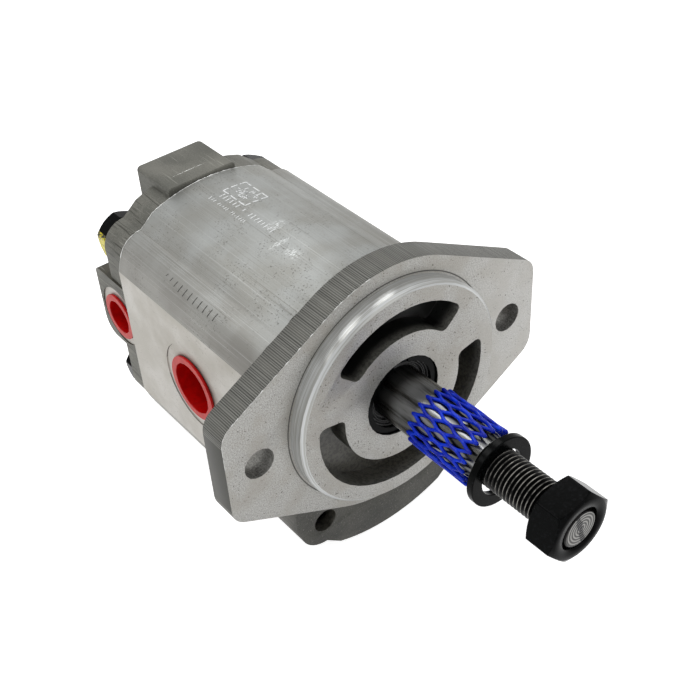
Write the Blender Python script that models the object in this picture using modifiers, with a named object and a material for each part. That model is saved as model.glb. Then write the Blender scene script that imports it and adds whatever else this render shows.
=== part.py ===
"""Hydraulic fan motor, built from Blender's modelling tools.

An external gear motor. A front cover with a two-bolt flange, an extruded body with a
port on each side and a rear cover are held together by four long bolts. Inside, a drive
gear and an idler gear turn in lined bearing blocks.

Frame: the origin is where the shaft's axis meets the flange's mounting face, +X is to
the right seen from the front, +Y runs to the rear cover and +Z is up. The shaft points
to -Y and the idler gear lies below the drive gear.
"""

import math

import bmesh
import bpy
from mathutils import Matrix, Vector

MM = 0.001

# Clearances
SEAT = 0.3 * MM
RUN = 0.1 * MM
TIP = 0.25 * MM

# Gears
CENTRES = 32.0 * MM
TEETH = 12
PRESSURE_ANGLE = math.radians(27.5)
ADDENDUM_RATIO = 0.95
DEDENDUM_RATIO = 1.2
BACKLASH = 0.3 * MM
FLANK_POINTS = 5

# Shaft
SHAFT_R = 9.525 * MM
CYLINDER_END = -20.0 * MM
TAPER_END = -46.5 * MM
TAPER_RATE = 1.0 / 16.0
NECK_UNDERCUT = 0.9 * MM
NECK_LENGTH = 2.0 * MM
THREAD_R = 7.0 * MM
SHAFT_TIP = -83.0 * MM
TIP_CHAMFER = 1.0 * MM
JOURNAL_SHORT = 1.1 * MM

# Key under the sleeve
KEY_R = 6.5 * MM
KEY_WIDTH = 4.0 * MM
KEY_FROM_CYLINDER = 11.0 * MM

# Nut, washer and net sleeve on the shaft
NUT_FLATS = 22.0 * MM
NUT_HEIGHT = 11.0 * MM
NUT_CORNER_TRIM = 0.3 * MM
NUT_PROUD = 0.2 * MM
NUT_TURN = math.radians(12.0)
WASHER_R = 12.5 * MM
WASHER_SLACK = 1.2 * MM
WASHER_THICKNESS = 2.5 * MM
WASHER_FROM_SLEEVE = 3.0 * MM
SLEEVE_OVER_CYLINDER = 1.3 * MM
SLEEVE_SHORT_OF_NECK = 0.5 * MM
SLEEVE_WALL = 0.8 * MM

# Front cover
PILOT_R = 41.275 * MM
PILOT_HEIGHT = 6.35 * MM
PILOT_CHAMFER = 1.2 * MM
FLANGE_THICKNESS = 10.0 * MM
FLANGE_SHOULDER = 6.125 * MM
FLANGE_SLOPE = math.radians(61.5)
FLANGE_PAST_HOLE = 12.2 * MM
FLANGE_CORNER_R = 8.0 * MM
MOUNT_HOLE_R = 5.55 * MM
MOUNT_HOLE_FROM_PILOT = 11.925 * MM
LOBE_FRONT = 3.0 * MM
COVER_DEPTH = 19.2 * MM
SHAFT_BORE_SLACK = 1.275 * MM
POCKET_RIM = 6.675 * MM
POCKET_WIDTH = 10.3 * MM
POCKET_DEPTH = 9.0 * MM
POCKET_CORNER_R = 2.4 * MM
UPPER_POCKET = (math.radians(43.0), math.radians(138.0))
LOWER_POCKET = (math.radians(170.0), math.radians(370.0))

# Shaft seal and its retaining ring
SEAL_BORE_R = 15.0 * MM
SEAL_FLOOR_GAP = 0.7 * MM
SEAL_WIDTH = 7.0 * MM
SEAL_SHELL = 1.3 * MM
RING_THICKNESS = 1.0 * MM
RING_RECESS = 0.8 * MM
RING_BITE = 0.6 * MM
RING_WIDTH = 2.4 * MM
RING_OPENING = 6.0 * MM

# Body section, measured from the plane halfway between the gears
BODY_LENGTH = 82.8 * MM
FLAT_PROUD = 1.4 * MM
FLAT_BELOW_BOLT = 2.2 * MM
CROWN_R = 62.5 * MM
CROWN_WALL = 15.117 * MM
CROWN_INSIDE_BOLT = 5.8 * MM
BOLT_FROM_BORE = 10.117 * MM
BOLT_ABOVE_GEAR = 14.4 * MM
LOBE_R = 10.3 * MM

# Big side ports
PORT_FROM_FRONT = 40.7 * MM
PORT_R = 11.1 * MM
PORT_DEPTH = 16.5 * MM
PORT_MOUTH_CHAMFER = 0.8 * MM
PORT_MOUTH_DEPTH = 1.5 * MM
PASSAGE_R = 7.5 * MM
SPOTFACE_LAND = 6.1 * MM
SPOTFACE_DEPTH = 0.5 * MM

# Plastic caps
CAP_FLANGE_LIP = 1.6 * MM
CAP_FLANGE_THICKNESS = 1.3 * MM
CAP_TUBE_LENGTH = 12.0 * MM
CAP_WALL = 0.9 * MM
CAP_DRAFT = 0.4 * MM
SMALL_CAP_FLANGE_LIP = 1.5 * MM
SMALL_CAP_FLANGE_THICKNESS = 1.3 * MM
SMALL_CAP_TUBE_LENGTH = 9.0 * MM
SMALL_CAP_WALL = 0.9 * MM

# Through bolts
BOLT_R = 5.0 * MM
BOLT_HEAD_FLATS = 17.0 * MM
BOLT_HEAD_HEIGHT = 6.4 * MM
BOLT_TIP = 8.0 * MM
BOLT_THREAD_DEPTH = 0.45 * MM
BOLT_CLEARANCE = 0.4 * MM
HEAD_TURNS = [math.radians(turn) for turn in (37.5, 34.0, 39.0, 31.0)]

# Dowels between body and covers, low on the left and high on the right
DOWEL_OUTSIDE_BOLT = 4.6 * MM
DOWEL_BELOW_BOLT = 14.4 * MM
DOWEL_R = 2.5 * MM
DOWEL_LENGTH = 13.0 * MM

# Bearing blocks, bushes and seals
BLOCK_LENGTH = 18.7 * MM
BUSH_WALL = 1.4 * MM
BUSH_INSET = 0.85 * MM
RELIEF_NEAR = 2.0 * MM
RELIEF_FAR = 8.0 * MM
RELIEF_HEIGHT = 3.2 * MM
RELIEF_DEPTH = 1.5 * MM
BALANCE_SEAL_LAND = 0.9 * MM
BALANCE_SEAL_WIDTH = 1.9 * MM
BALANCE_SEAL_DEPTH = 1.6 * MM
BODY_SEAL_LAND = 2.6 * MM
BODY_SEAL_WIDTH = 1.9 * MM
BODY_SEAL_DEPTH = 1.5 * MM

# Rear cover
PLATE_THICKNESS = 12.0 * MM
PLATE_INSET = 0.6 * MM
PLATE_SIDE_INSET = 2.1 * MM
BLOCK_LEFT = -20.1 * MM
BLOCK_RIGHT = 10.6 * MM
BLOCK_DEPTH = 15.8 * MM
BLOCK_ABOVE_CROWN = 6.1 * MM
BLOCK_ABOVE_HEAD = 0.8 * MM
BLOCK_REAR_R = 3.6 * MM
BLOCK_FRONT_LEFT_R = 8.0 * MM
BLOCK_FRONT_RIGHT_R = 1.8 * MM
BLOCK_EDGE = 0.9 * MM
BOSS_PROUD = 0.8 * MM
BOSS_RIGHT = 14.0 * MM
BOSS_WALL = 5.8 * MM
BOSS_ABOVE_DRAIN = 16.3 * MM
BOSS_UPPER_R = 2.2 * MM
BOSS_LOWER_R = 6.8 * MM
DRAIN_FRONT_WALL = 1.7 * MM
DRAIN_ABOVE_MIDDLE = 1.2 * MM
DRAIN_R = 7.9 * MM
DRAIN_SPOTFACE_LAND = 4.3 * MM
DRAIN_SPOTFACE_DEPTH = 0.5 * MM
DRAIN_DEPTH = 13.0 * MM
DRAIN_PASSAGE_R = 3.0 * MM

# Facets on round pieces
FINE_SIDES = 52
ROUND_SIDES = 28
SMALL_SIDES = 16
SHARP = math.radians(32)

# Places worked out from the sizes above
MODULE = CENTRES / TEETH
PITCH_R = CENTRES / 2
GEAR_TIP_R = PITCH_R + ADDENDUM_RATIO * MODULE
GEAR_ROOT_R = PITCH_R - DEDENDUM_RATIO * MODULE
GEAR_BORE_R = GEAR_TIP_R + TIP
MIDDLE_Z = -CENTRES / 2
BOLT_X = GEAR_BORE_R + BOLT_FROM_BORE
BOLT_Z = CENTRES / 2 + BOLT_ABOVE_GEAR
FLAT_X = BOLT_X + LOBE_R + FLAT_PROUD
FLAT_HALF_HEIGHT = BOLT_Z - FLAT_BELOW_BOLT
CROWN_TOP = CENTRES / 2 + GEAR_BORE_R + CROWN_WALL
CROWN_HALF_WIDTH = BOLT_X - CROWN_INSIDE_BOLT
BOLT_TAP_R = BOLT_R - BOLT_THREAD_DEPTH
DOWEL_X = BOLT_X + DOWEL_OUTSIDE_BOLT
DOWEL_RISE = BOLT_Z - DOWEL_BELOW_BOLT
FLANGE_R = PILOT_R + FLANGE_SHOULDER
MOUNT_HOLE_X = PILOT_R + MOUNT_HOLE_FROM_PILOT
FLANGE_HALF_LENGTH = MOUNT_HOLE_X + FLANGE_PAST_HOLE
SHAFT_BORE_R = SHAFT_R + SHAFT_BORE_SLACK
POCKET_OUTER_R = PILOT_R - POCKET_RIM
POCKET_INNER_R = POCKET_OUTER_R - POCKET_WIDTH
PILOT_FACE = -PILOT_HEIGHT
BODY_FRONT = COVER_DEPTH + SEAT
BODY_REAR = BODY_FRONT + BODY_LENGTH
PLATE_FRONT = BODY_REAR + SEAT
PLATE_REAR = PLATE_FRONT + PLATE_THICKNESS
PLATE_HALF_WIDTH = FLAT_X - PLATE_SIDE_INSET
FRONT_JOINT = COVER_DEPTH + SEAT / 2
REAR_JOINT = BODY_REAR + SEAT / 2
PORT_Y = BODY_FRONT + PORT_FROM_FRONT
PORT_FACE = FLAT_X - SPOTFACE_DEPTH
PORT_MOUTH_R = PORT_R + PORT_MOUTH_CHAMFER
SPOTFACE_R = PORT_R + SPOTFACE_LAND
FRONT_BLOCK_REAR = BODY_FRONT + SEAT + BLOCK_LENGTH
REAR_BLOCK_FRONT = BODY_REAR - SEAT - BLOCK_LENGTH
GEAR_FRONT = FRONT_BLOCK_REAR + SEAT
GEAR_REAR = REAR_BLOCK_FRONT - SEAT
JOURNAL_LENGTH = BLOCK_LENGTH - JOURNAL_SHORT
BUSH_LENGTH = BLOCK_LENGTH - 2 * BUSH_INSET
BUSH_INNER_R = SHAFT_R + RUN
BUSH_OUTER_R = BUSH_INNER_R + BUSH_WALL
BLOCK_BORE_R = BUSH_OUTER_R + SEAT
BLOCK_R = GEAR_BORE_R - SEAT
NECK_R = THREAD_R - NECK_UNDERCUT
THREAD_START = TAPER_END - NECK_LENGTH
KEY_AT = CYLINDER_END - KEY_FROM_CYLINDER
SLEEVE_START = CYLINDER_END + SLEEVE_OVER_CYLINDER
SLEEVE_END = TAPER_END + SLEEVE_SHORT_OF_NECK
WASHER_REAR = SLEEVE_END - WASHER_FROM_SLEEVE
WASHER_HOLE_R = THREAD_R + WASHER_SLACK
WASHER_DROP = WASHER_SLACK - SEAT
NUT_CORNER_R = NUT_FLATS / math.sqrt(3) - NUT_CORNER_TRIM
NUT_FRONT = SHAFT_TIP - NUT_PROUD
NUT_REAR = NUT_FRONT + NUT_HEIGHT
RING_FRONT = PILOT_FACE + RING_RECESS
RING_REAR = RING_FRONT + RING_THICKNESS
SEAL_FRONT = RING_REAR + SEAT
SEAL_REAR = SEAL_FRONT + SEAL_WIDTH
SEAL_FLOOR = SEAL_REAR + SEAL_FLOOR_GAP
BLOCK_TOP = MIDDLE_Z + CROWN_TOP + BLOCK_ABOVE_CROWN
BLOCK_BOTTOM = MIDDLE_Z + BOLT_Z + BOLT_HEAD_FLATS / math.sqrt(3) + BLOCK_ABOVE_HEAD
DRAIN_Y = PLATE_FRONT + DRAIN_R + DRAIN_FRONT_WALL
DRAIN_Z = MIDDLE_Z + DRAIN_ABOVE_MIDDLE
BOSS_LEFT = -PLATE_HALF_WIDTH - BOSS_PROUD
DRAIN_FACE = BOSS_LEFT + DRAIN_SPOTFACE_DEPTH
DRAIN_SPOTFACE_R = DRAIN_R + DRAIN_SPOTFACE_LAND
BOSS_HALF = DRAIN_R + BOSS_WALL
BOSS_TOP = DRAIN_Z + BOSS_ABOVE_DRAIN
CAP_FLANGE_R = PORT_R + CAP_FLANGE_LIP
SMALL_CAP_FLANGE_R = DRAIN_R + SMALL_CAP_FLANGE_LIP

# Turns that lay an outline's own X and Y on two of the real axes
OUTLINE_TURNS = {"X": (math.pi / 2, 0, math.pi / 2), "Y": (math.pi / 2, 0, 0), "Z": (0, 0, 0)}
ALONG_Y = (-math.pi / 2, 0, 0)
ALONG_X = (0, math.pi / 2, 0)
AGAINST_X = (0, -math.pi / 2, 0)


def collection(name):
    """Makes a collection under the scene's own."""
    made = bpy.data.collections.new(name)
    bpy.context.scene.collection.children.link(made)
    return made


for leftover in list(bpy.data.objects):
    bpy.data.objects.remove(leftover, do_unlink=True)
PARTS = collection("hydraulic_fan_motor")
TOOLS = collection("cutters")


def material(name, colour, roughness, metallic):
    """A plain finish for one sub-part."""
    made = bpy.data.materials.new(name)
    made.use_nodes = True
    shader = made.node_tree.nodes["Principled BSDF"]
    shader.inputs["Base Color"].default_value = (*colour, 1.0)
    shader.inputs["Roughness"].default_value = roughness
    shader.inputs["Metallic"].default_value = metallic
    return made


ALUMINIUM = ((0.62, 0.62, 0.60), 0.38, 0.9)
CAST_ALUMINIUM = ((0.34, 0.34, 0.33), 0.55, 0.8)
BEARING_ALUMINIUM = ((0.55, 0.56, 0.56), 0.42, 0.9)
STEEL = ((0.46, 0.45, 0.44), 0.24, 1.0)
BLACK_STEEL = ((0.03, 0.03, 0.032), 0.42, 0.7)
BRONZE = ((0.55, 0.36, 0.18), 0.40, 0.9)
BLACK_RUBBER = ((0.02, 0.02, 0.02), 0.55, 0.0)
GREEN_RUBBER = ((0.05, 0.14, 0.08), 0.50, 0.0)
RED_PLASTIC = ((0.55, 0.01, 0.01), 0.35, 0.0)
BLUE_PLASTIC = ((0.01, 0.05, 0.60), 0.40, 0.0)


def smooth_by_angle():
    """A node group that shades smooth and keeps the edges sharper than SHARP."""
    group = bpy.data.node_groups.new("smooth by angle", "GeometryNodeTree")
    group.interface.new_socket("Geometry", in_out="INPUT", socket_type="NodeSocketGeometry")
    group.interface.new_socket("Geometry", in_out="OUTPUT", socket_type="NodeSocketGeometry")
    entry = group.nodes.new("NodeGroupInput")
    leave = group.nodes.new("NodeGroupOutput")
    faces = group.nodes.new("GeometryNodeSetShadeSmooth")
    edges = group.nodes.new("GeometryNodeSetShadeSmooth")
    edges.domain = "EDGE"
    edges.inputs["Shade Smooth"].default_value = False
    angle = group.nodes.new("GeometryNodeInputMeshEdgeAngle")
    sharper = group.nodes.new("FunctionNodeCompare")
    sharper.data_type = "FLOAT"
    sharper.operation = "GREATER_THAN"
    sharper.inputs[1].default_value = SHARP
    link = group.links.new
    link(entry.outputs[0], faces.inputs["Geometry"])
    link(faces.outputs[0], edges.inputs["Geometry"])
    link(angle.outputs["Unsigned Angle"], sharper.inputs[0])
    link(sharper.outputs[0], edges.inputs["Selection"])
    link(edges.outputs[0], leave.inputs[0])
    return group


SMOOTHING = smooth_by_angle()


def keep(obj, name, finish):
    """Names a sub-part, gives it its own finish and files it with the parts."""
    smooth = obj.modifiers.new("smooth by angle", "NODES")
    smooth.node_group = SMOOTHING
    obj.name = name
    obj.data.name = name
    obj.data.materials.clear()
    obj.data.materials.append(material(name, *finish))
    for holder in list(obj.users_collection):
        holder.objects.unlink(obj)
    PARTS.objects.link(obj)
    return obj


def tool(obj):
    """Files an object with the cutters, out of renders."""
    obj.hide_render = True
    obj.display_type = "WIRE"
    for holder in list(obj.users_collection):
        holder.objects.unlink(obj)
    TOOLS.objects.link(obj)
    return obj


def mesh_object(name, shape):
    """Turns a bmesh into an object in the scene."""
    bmesh.ops.recalc_face_normals(shape, faces=shape.faces)
    data = bpy.data.meshes.new(name)
    shape.to_mesh(data)
    shape.free()
    obj = bpy.data.objects.new(name, data)
    bpy.context.scene.collection.objects.link(obj)
    return obj


def boolean(target, other, operation):
    """Adds one exact Boolean whose operand is kept with the cutters."""
    step = target.modifiers.new(operation.lower(), "BOOLEAN")
    step.operation = operation
    step.solver = "EXACT"
    step.object = tool(other)


def cut(target, *others):
    for other in others:
        boolean(target, other, "DIFFERENCE")


def join(target, *others):
    for other in others:
        boolean(target, other, "UNION")


def rod(radius, start, end, sides=ROUND_SIDES):
    """A cylinder between two points that lie along one axis."""
    start = Vector(start)
    end = Vector(end)
    shape = bmesh.new()
    bmesh.ops.create_cone(shape, cap_ends=True, segments=sides, radius1=radius,
                          radius2=radius, depth=(end - start).length)
    turn = Vector((0, 0, 1)).rotation_difference(end - start).to_matrix().to_4x4()
    obj = mesh_object("rod", shape)
    obj.matrix_world = Matrix.Translation((start + end) / 2) @ turn
    return obj


def box(low, high):
    """A box between two corners."""
    low = Vector(low)
    high = Vector(high)
    shape = bmesh.new()
    bmesh.ops.create_cube(shape, size=1.0)
    bmesh.ops.scale(shape, vec=high - low, verts=shape.verts)
    obj = mesh_object("box", shape)
    obj.location = (low + high) / 2
    return obj


def turned(profile, rotation, location, sides=ROUND_SIDES, ring=False):
    """A turned piece from (radius, height) pairs, listed down its outer side.

    The heights are along the object's own +Z, which the rotation lays on the real axis.
    """
    data = bpy.data.meshes.new("turned")
    count = len(profile)
    edges = [(i, i + 1) for i in range(count - 1)]
    if ring:
        edges.append((count - 1, 0))
    data.from_pydata([(r, 0, h) for r, h in profile], edges, [])
    obj = bpy.data.objects.new("turned", data)
    bpy.context.scene.collection.objects.link(obj)
    obj.rotation_euler = rotation
    obj.location = location
    lathe = obj.modifiers.new("lathe", "SCREW")
    lathe.axis = "Z"
    lathe.angle = 2 * math.pi
    lathe.steps = sides
    lathe.render_steps = sides
    lathe.use_merge_vertices = True
    lathe.merge_threshold = 1e-6
    return obj


def prism(outlines, low, high, axis="Y", edge=0.0):
    """A flat outline, with any holes, carried from low to high along an axis.

    The outline's points are X and Z for the Y axis, Y and Z for the X axis, and X and Y
    for the Z axis. An edge radius rounds the rims of both ends.
    """
    curve = bpy.data.curves.new("outline", "CURVE")
    curve.dimensions = "2D"
    curve.fill_mode = "BOTH"
    curve.extrude = (high - low) / 2 - edge
    curve.bevel_depth = edge
    curve.bevel_resolution = 1
    curve.offset = -edge
    for outline in outlines:
        spline = curve.splines.new("POLY")
        spline.points.add(len(outline) - 1)
        for point, (x, z) in zip(spline.points, outline):
            point.co = (x, z, 0, 1)
        spline.use_cyclic_u = True
    flat = bpy.data.objects.new("outline", curve)
    bpy.context.scene.collection.objects.link(flat)
    flat.rotation_euler = OUTLINE_TURNS[axis]
    flat.location = [(low + high) / 2 if axis == name else 0 for name in "XYZ"]
    return as_mesh(flat)


def as_mesh(flat):
    """Replaces a curve object by a welded mesh object in the same place."""
    bpy.context.view_layer.update()
    graph = bpy.context.evaluated_depsgraph_get()
    data = bpy.data.meshes.new_from_object(flat.evaluated_get(graph))
    shape = bmesh.new()
    shape.from_mesh(data)
    bpy.data.meshes.remove(data)
    bmesh.ops.remove_doubles(shape, verts=shape.verts, dist=1e-6)
    obj = mesh_object(flat.name, shape)
    obj.matrix_world = flat.matrix_world
    bpy.data.objects.remove(flat, do_unlink=True)
    return obj


def arc(centre, radius, start, end, steps):
    """Points on an arc, both ends included; angles in radians from +X towards +Z."""
    points = []
    for i in range(steps + 1):
        angle = start + (end - start) * i / steps
        points.append((centre[0] + radius * math.cos(angle), centre[1] + radius * math.sin(angle)))
    return points


def circle(centre, radius, sides=ROUND_SIDES):
    return arc(centre, radius, 0, 2 * math.pi, sides)[:-1]


def four_fold(quadrant, middle):
    """Mirrors an outline's first quadrant, from the +X side to the top, about both axes."""
    back = quadrant[::-1]
    whole = list(quadrant)
    whole += [(-x, z) for x, z in back]
    whole += [(-x, -z) for x, z in quadrant]
    whole += [(x, -z) for x, z in back]
    tidy = []
    for x, z in whole:
        if not tidy or math.dist(tidy[-1], (x, z + middle)) > 1e-6:
            tidy.append((x, z + middle))
    if math.dist(tidy[0], tidy[-1]) < 1e-6:
        tidy.pop()
    return tidy


def body_outline(flat_x=FLAT_X, inset=0.0):
    """The extruded section: crown, slope down to the bolt's lobe, then the port flat."""
    crown_centre = (0, CROWN_TOP - CROWN_R)
    crown_end = math.acos(CROWN_HALF_WIDTH / CROWN_R)
    reach = LOBE_R - inset
    across = flat_x - BOLT_X
    below = BOLT_Z - FLAT_HALF_HEIGHT
    tangent = math.acos(min(1.0, reach / math.hypot(across, below))) - math.atan2(below, across)
    quadrant = [(flat_x, FLAT_HALF_HEIGHT)]
    quadrant += arc((BOLT_X, BOLT_Z), reach, tangent, math.pi / 2, 8)
    quadrant += arc(crown_centre, CROWN_R - inset, crown_end, math.pi / 2, 7)
    return four_fold(quadrant, MIDDLE_Z)


def flange_outline():
    """Round middle, straight sides and blunt ends with rounded corners."""
    corner_x = FLANGE_HALF_LENGTH - FLANGE_CORNER_R
    reach = FLANGE_R - FLANGE_CORNER_R
    corner_z = (reach - corner_x * math.cos(FLANGE_SLOPE)) / math.sin(FLANGE_SLOPE)
    quadrant = arc((corner_x, corner_z), FLANGE_CORNER_R, 0, FLANGE_SLOPE, 6)
    quadrant += arc((0, 0), FLANGE_R, FLANGE_SLOPE, math.pi / 2, 8)
    return four_fold(quadrant, 0)


def figure_eight(radius, steps=20):
    """Two round ends about the gears' axes that meet in a waist on the middle plane."""
    meet = math.asin(CENTRES / 2 / radius)
    upper = arc((0, 0), radius, -meet, math.pi + meet, steps)
    lower = arc((0, -CENTRES), radius, math.pi - meet, 2 * math.pi + meet, steps)
    return upper + lower[1:-1]


def racetrack(radius, steps=12):
    """Two half circles about the gears' axes, joined by straight sides."""
    upper = arc((0, 0), radius, 0, math.pi, steps)
    return upper + arc((0, -CENTRES), radius, math.pi, 2 * math.pi, steps)


def pocket_outline(span):
    """A curved slot between two radii about the shaft, with rounded corners."""
    start, end = span
    corner = POCKET_CORNER_R
    outline = []
    for radius, first, last, turn in (
        (POCKET_OUTER_R - corner, start, end, 0.0),
        (POCKET_INNER_R + corner, end, start, math.pi),
    ):
        lean = corner / radius
        sweep = 1 if last > first else -1
        low = first + sweep * lean
        high = last - sweep * lean
        outer = radius + corner if turn == 0.0 else radius - corner
        enter = (radius * math.cos(low), radius * math.sin(low))
        leave = (radius * math.cos(high), radius * math.sin(high))
        outline += arc(enter, corner, low + turn - math.pi / 2, low + turn, 3)
        outline += arc((0, 0), outer, low, high, max(6, int(8 * abs(high - low))))[1:-1]
        outline += arc(leave, corner, high + turn, high + turn + math.pi / 2, 3)
    return outline


def involute(angle):
    return math.tan(angle) - angle


def gear_outline(centre_z, first_tooth):
    """An external gear: involute flanks from the base circle to the tips, round roots.

    At radius r a tooth's half angle is its half angle on the pitch circle, plus the
    involute of the pressure angle, less the involute of arccos(base radius / r).
    """
    base = PITCH_R * math.cos(PRESSURE_ANGLE)
    half_pitch = (math.pi * MODULE / 2 - BACKLASH / 2) / 2 / PITCH_R
    foot = max(base, GEAR_ROOT_R)
    flank = []
    for i in range(FLANK_POINTS):
        radius = foot + (GEAR_TIP_R - foot) * i / (FLANK_POINTS - 1)
        half = half_pitch + involute(PRESSURE_ANGLE) - involute(math.acos(min(1.0, base / radius)))
        flank.append((radius, half))
    root_half = flank[0][1]
    outline = []
    for tooth in range(TEETH):
        middle = first_tooth + 2 * math.pi * tooth / TEETH
        polar = [(GEAR_ROOT_R, -root_half * 1.06)]
        polar += [(radius, -half) for radius, half in flank]
        polar += [(radius, half) for radius, half in flank[::-1]]
        polar += [(GEAR_ROOT_R, root_half * 1.06)]
        outline += [(r * math.cos(middle + a), centre_z + r * math.sin(middle + a)) for r, a in polar]
    return outline


def hexagon(flats, centre, turn):
    radius = flats / math.sqrt(3)
    return [(centre[0] + radius * math.cos(turn + i * math.pi / 3),
             centre[1] + radius * math.sin(turn + i * math.pi / 3)) for i in range(6)]


def bolt_places():
    """The four bolts, as X and Z."""
    return [(side * BOLT_X, MIDDLE_Z + height * BOLT_Z) for height in (1, -1) for side in (-1, 1)]


def taper_r(y):
    """The shaft's radius on its taper."""
    return SHAFT_R - (CYLINDER_END - y) * TAPER_RATE


def make_front_cover():
    cover = prism([flange_outline()], 0, FLANGE_THICKNESS)
    join(cover, prism([body_outline()], LOBE_FRONT, COVER_DEPTH))
    inside = FLANGE_THICKNESS / 2
    pilot = [(0, inside), (PILOT_R, inside), (PILOT_R, PILOT_FACE + PILOT_CHAMFER),
             (PILOT_R - PILOT_CHAMFER, PILOT_FACE), (0, PILOT_FACE)]
    join(cover, turned(pilot, ALONG_Y, (0, 0, 0), FINE_SIDES))
    past = PILOT_FACE - SEAT
    behind = COVER_DEPTH + SEAT
    cut(cover, rod(SEAL_BORE_R, (0, past, 0), (0, SEAL_FLOOR, 0)))
    cut(cover, rod(SHAFT_BORE_R, (0, past, 0), (0, behind, 0)))
    groove_r = SEAL_BORE_R + RING_BITE
    cut(cover, rod(groove_r, (0, RING_FRONT - SEAT, 0), (0, RING_REAR + SEAT, 0)))
    for span in (UPPER_POCKET, LOWER_POCKET):
        cut(cover, prism([pocket_outline(span)], past, PILOT_FACE + POCKET_DEPTH))
    for side in (-1, 1):
        x = side * MOUNT_HOLE_X
        cut(cover, rod(MOUNT_HOLE_R, (x, -SEAT, 0), (x, FLANGE_THICKNESS + SEAT, 0), SMALL_SIDES))
    for x, z in bolt_places():
        cut(cover, rod(BOLT_R + SEAT, (x, BOLT_TIP - SEAT, z), (x, behind, z), SMALL_SIDES))
        if z < MIDDLE_Z:
            cut(cover, rod(BOLT_TAP_R, (x, LOBE_FRONT - SEAT, z), (x, BOLT_TIP, z), SMALL_SIDES))
    cut(cover, *dowel_holes(FRONT_JOINT))
    keep(cover, "front_cover", ALUMINIUM)


def dowel(side, joint, slack=0.0):
    """A dowel across a joint, on the left (-1) or right (1); slack makes it a cutter."""
    x = side * DOWEL_X
    z = MIDDLE_Z + side * DOWEL_RISE
    half = DOWEL_LENGTH / 2 + slack
    return rod(DOWEL_R + slack, (x, joint - half, z), (x, joint + half, z), SMALL_SIDES)


def dowel_holes(joint):
    return [dowel(side, joint, SEAT) for side in (-1, 1)]


def body_seal_outlines(slack):
    """The racetrack ring round both gear bores; slack widens it into its groove."""
    inner = GEAR_BORE_R + BODY_SEAL_LAND
    return [racetrack(inner + BODY_SEAL_WIDTH + slack), racetrack(inner - slack)]


def make_motor_body():
    body = prism([body_outline()], BODY_FRONT, BODY_REAR)
    past = SEAT
    cut(body, prism([figure_eight(GEAR_BORE_R)], BODY_FRONT - past, BODY_REAR + past))
    depth = BODY_SEAL_DEPTH + SEAT
    cut(body, prism(body_seal_outlines(SEAT), BODY_FRONT - past, BODY_FRONT + depth))
    cut(body, prism(body_seal_outlines(SEAT), BODY_REAR - depth, BODY_REAR + past))
    for side in (-1, 1):
        out = side * (FLAT_X + past)
        for radius, floor, sides in ((SPOTFACE_R, PORT_FACE, ROUND_SIDES),
                                     (PORT_MOUTH_R, PORT_FACE - PORT_MOUTH_DEPTH, ROUND_SIDES),
                                     (PORT_R, PORT_FACE - PORT_DEPTH, ROUND_SIDES),
                                     (PASSAGE_R, 0, SMALL_SIDES)):
            cut(body, rod(radius, (out, PORT_Y, MIDDLE_Z), (side * floor, PORT_Y, MIDDLE_Z), sides))
    hole_r = BOLT_R + BOLT_CLEARANCE
    for x, z in bolt_places():
        cut(body, rod(hole_r, (x, BODY_FRONT - past, z), (x, BODY_REAR + past, z), SMALL_SIDES))
    cut(body, *dowel_holes(FRONT_JOINT), *dowel_holes(REAR_JOINT))
    keep(body, "motor_body", ALUMINIUM)


def rounded_corner(corner, radius, start):
    """A quarter turn of an outline that goes round anticlockwise, near a square corner."""
    x, y = corner
    centre = (x - radius * math.copysign(1, math.cos(start + math.pi / 4)),
              y - radius * math.copysign(1, math.sin(start + math.pi / 4)))
    return arc(centre, radius, start, start + math.pi / 2, 5)


def block_outline():
    """The raised block from above; its front left corner is cut back the most."""
    front = PLATE_FRONT
    rear = PLATE_FRONT + BLOCK_DEPTH
    corners = (((BLOCK_RIGHT, rear), BLOCK_REAR_R), ((BLOCK_LEFT, rear), BLOCK_REAR_R),
               ((BLOCK_LEFT, front), BLOCK_FRONT_LEFT_R), ((BLOCK_RIGHT, front), BLOCK_FRONT_RIGHT_R))
    outline = []
    for i, (corner, radius) in enumerate(corners):
        outline += rounded_corner(corner, radius, i * math.pi / 2)
    return outline


def boss_outline():
    """The drain boss from its end: square above, well rounded below and at the rear."""
    rear = DRAIN_Y + BOSS_HALF
    bottom = DRAIN_Z - BOSS_HALF
    outline = [(PLATE_FRONT, bottom)]
    outline += rounded_corner((rear, bottom), BOSS_LOWER_R, -math.pi / 2)
    outline += rounded_corner((rear, BOSS_TOP), BOSS_UPPER_R, 0)
    outline.append((PLATE_FRONT, BOSS_TOP))
    return outline


def make_rear_cover():
    cover = prism([body_outline(PLATE_HALF_WIDTH, PLATE_INSET)], PLATE_FRONT, PLATE_REAR)
    join(cover, prism([block_outline()], BLOCK_BOTTOM, BLOCK_TOP, "Z", BLOCK_EDGE))
    join(cover, prism([boss_outline()], BOSS_LEFT, BOSS_RIGHT, "X"))
    front = PLATE_FRONT - SEAT
    for x, z in bolt_places():
        cut(cover, rod(BOLT_R + BOLT_CLEARANCE, (x, front, z), (x, PLATE_REAR + SEAT, z), SMALL_SIDES))
    cut(cover, *dowel_holes(REAR_JOINT))
    outside = (BOSS_LEFT - SEAT, DRAIN_Y, DRAIN_Z)
    for radius, floor, sides in ((DRAIN_SPOTFACE_R, DRAIN_FACE, ROUND_SIDES),
                                 (DRAIN_R, DRAIN_FACE + DRAIN_DEPTH, ROUND_SIDES),
                                 (DRAIN_PASSAGE_R, 0, SMALL_SIDES)):
        cut(cover, rod(radius, outside, (floor, DRAIN_Y, DRAIN_Z), sides))
    cut(cover, rod(DRAIN_PASSAGE_R, (0, front, DRAIN_Z), (0, DRAIN_Y, DRAIN_Z), SMALL_SIDES))
    keep(cover, "rear_cover", CAST_ALUMINIUM)


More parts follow.
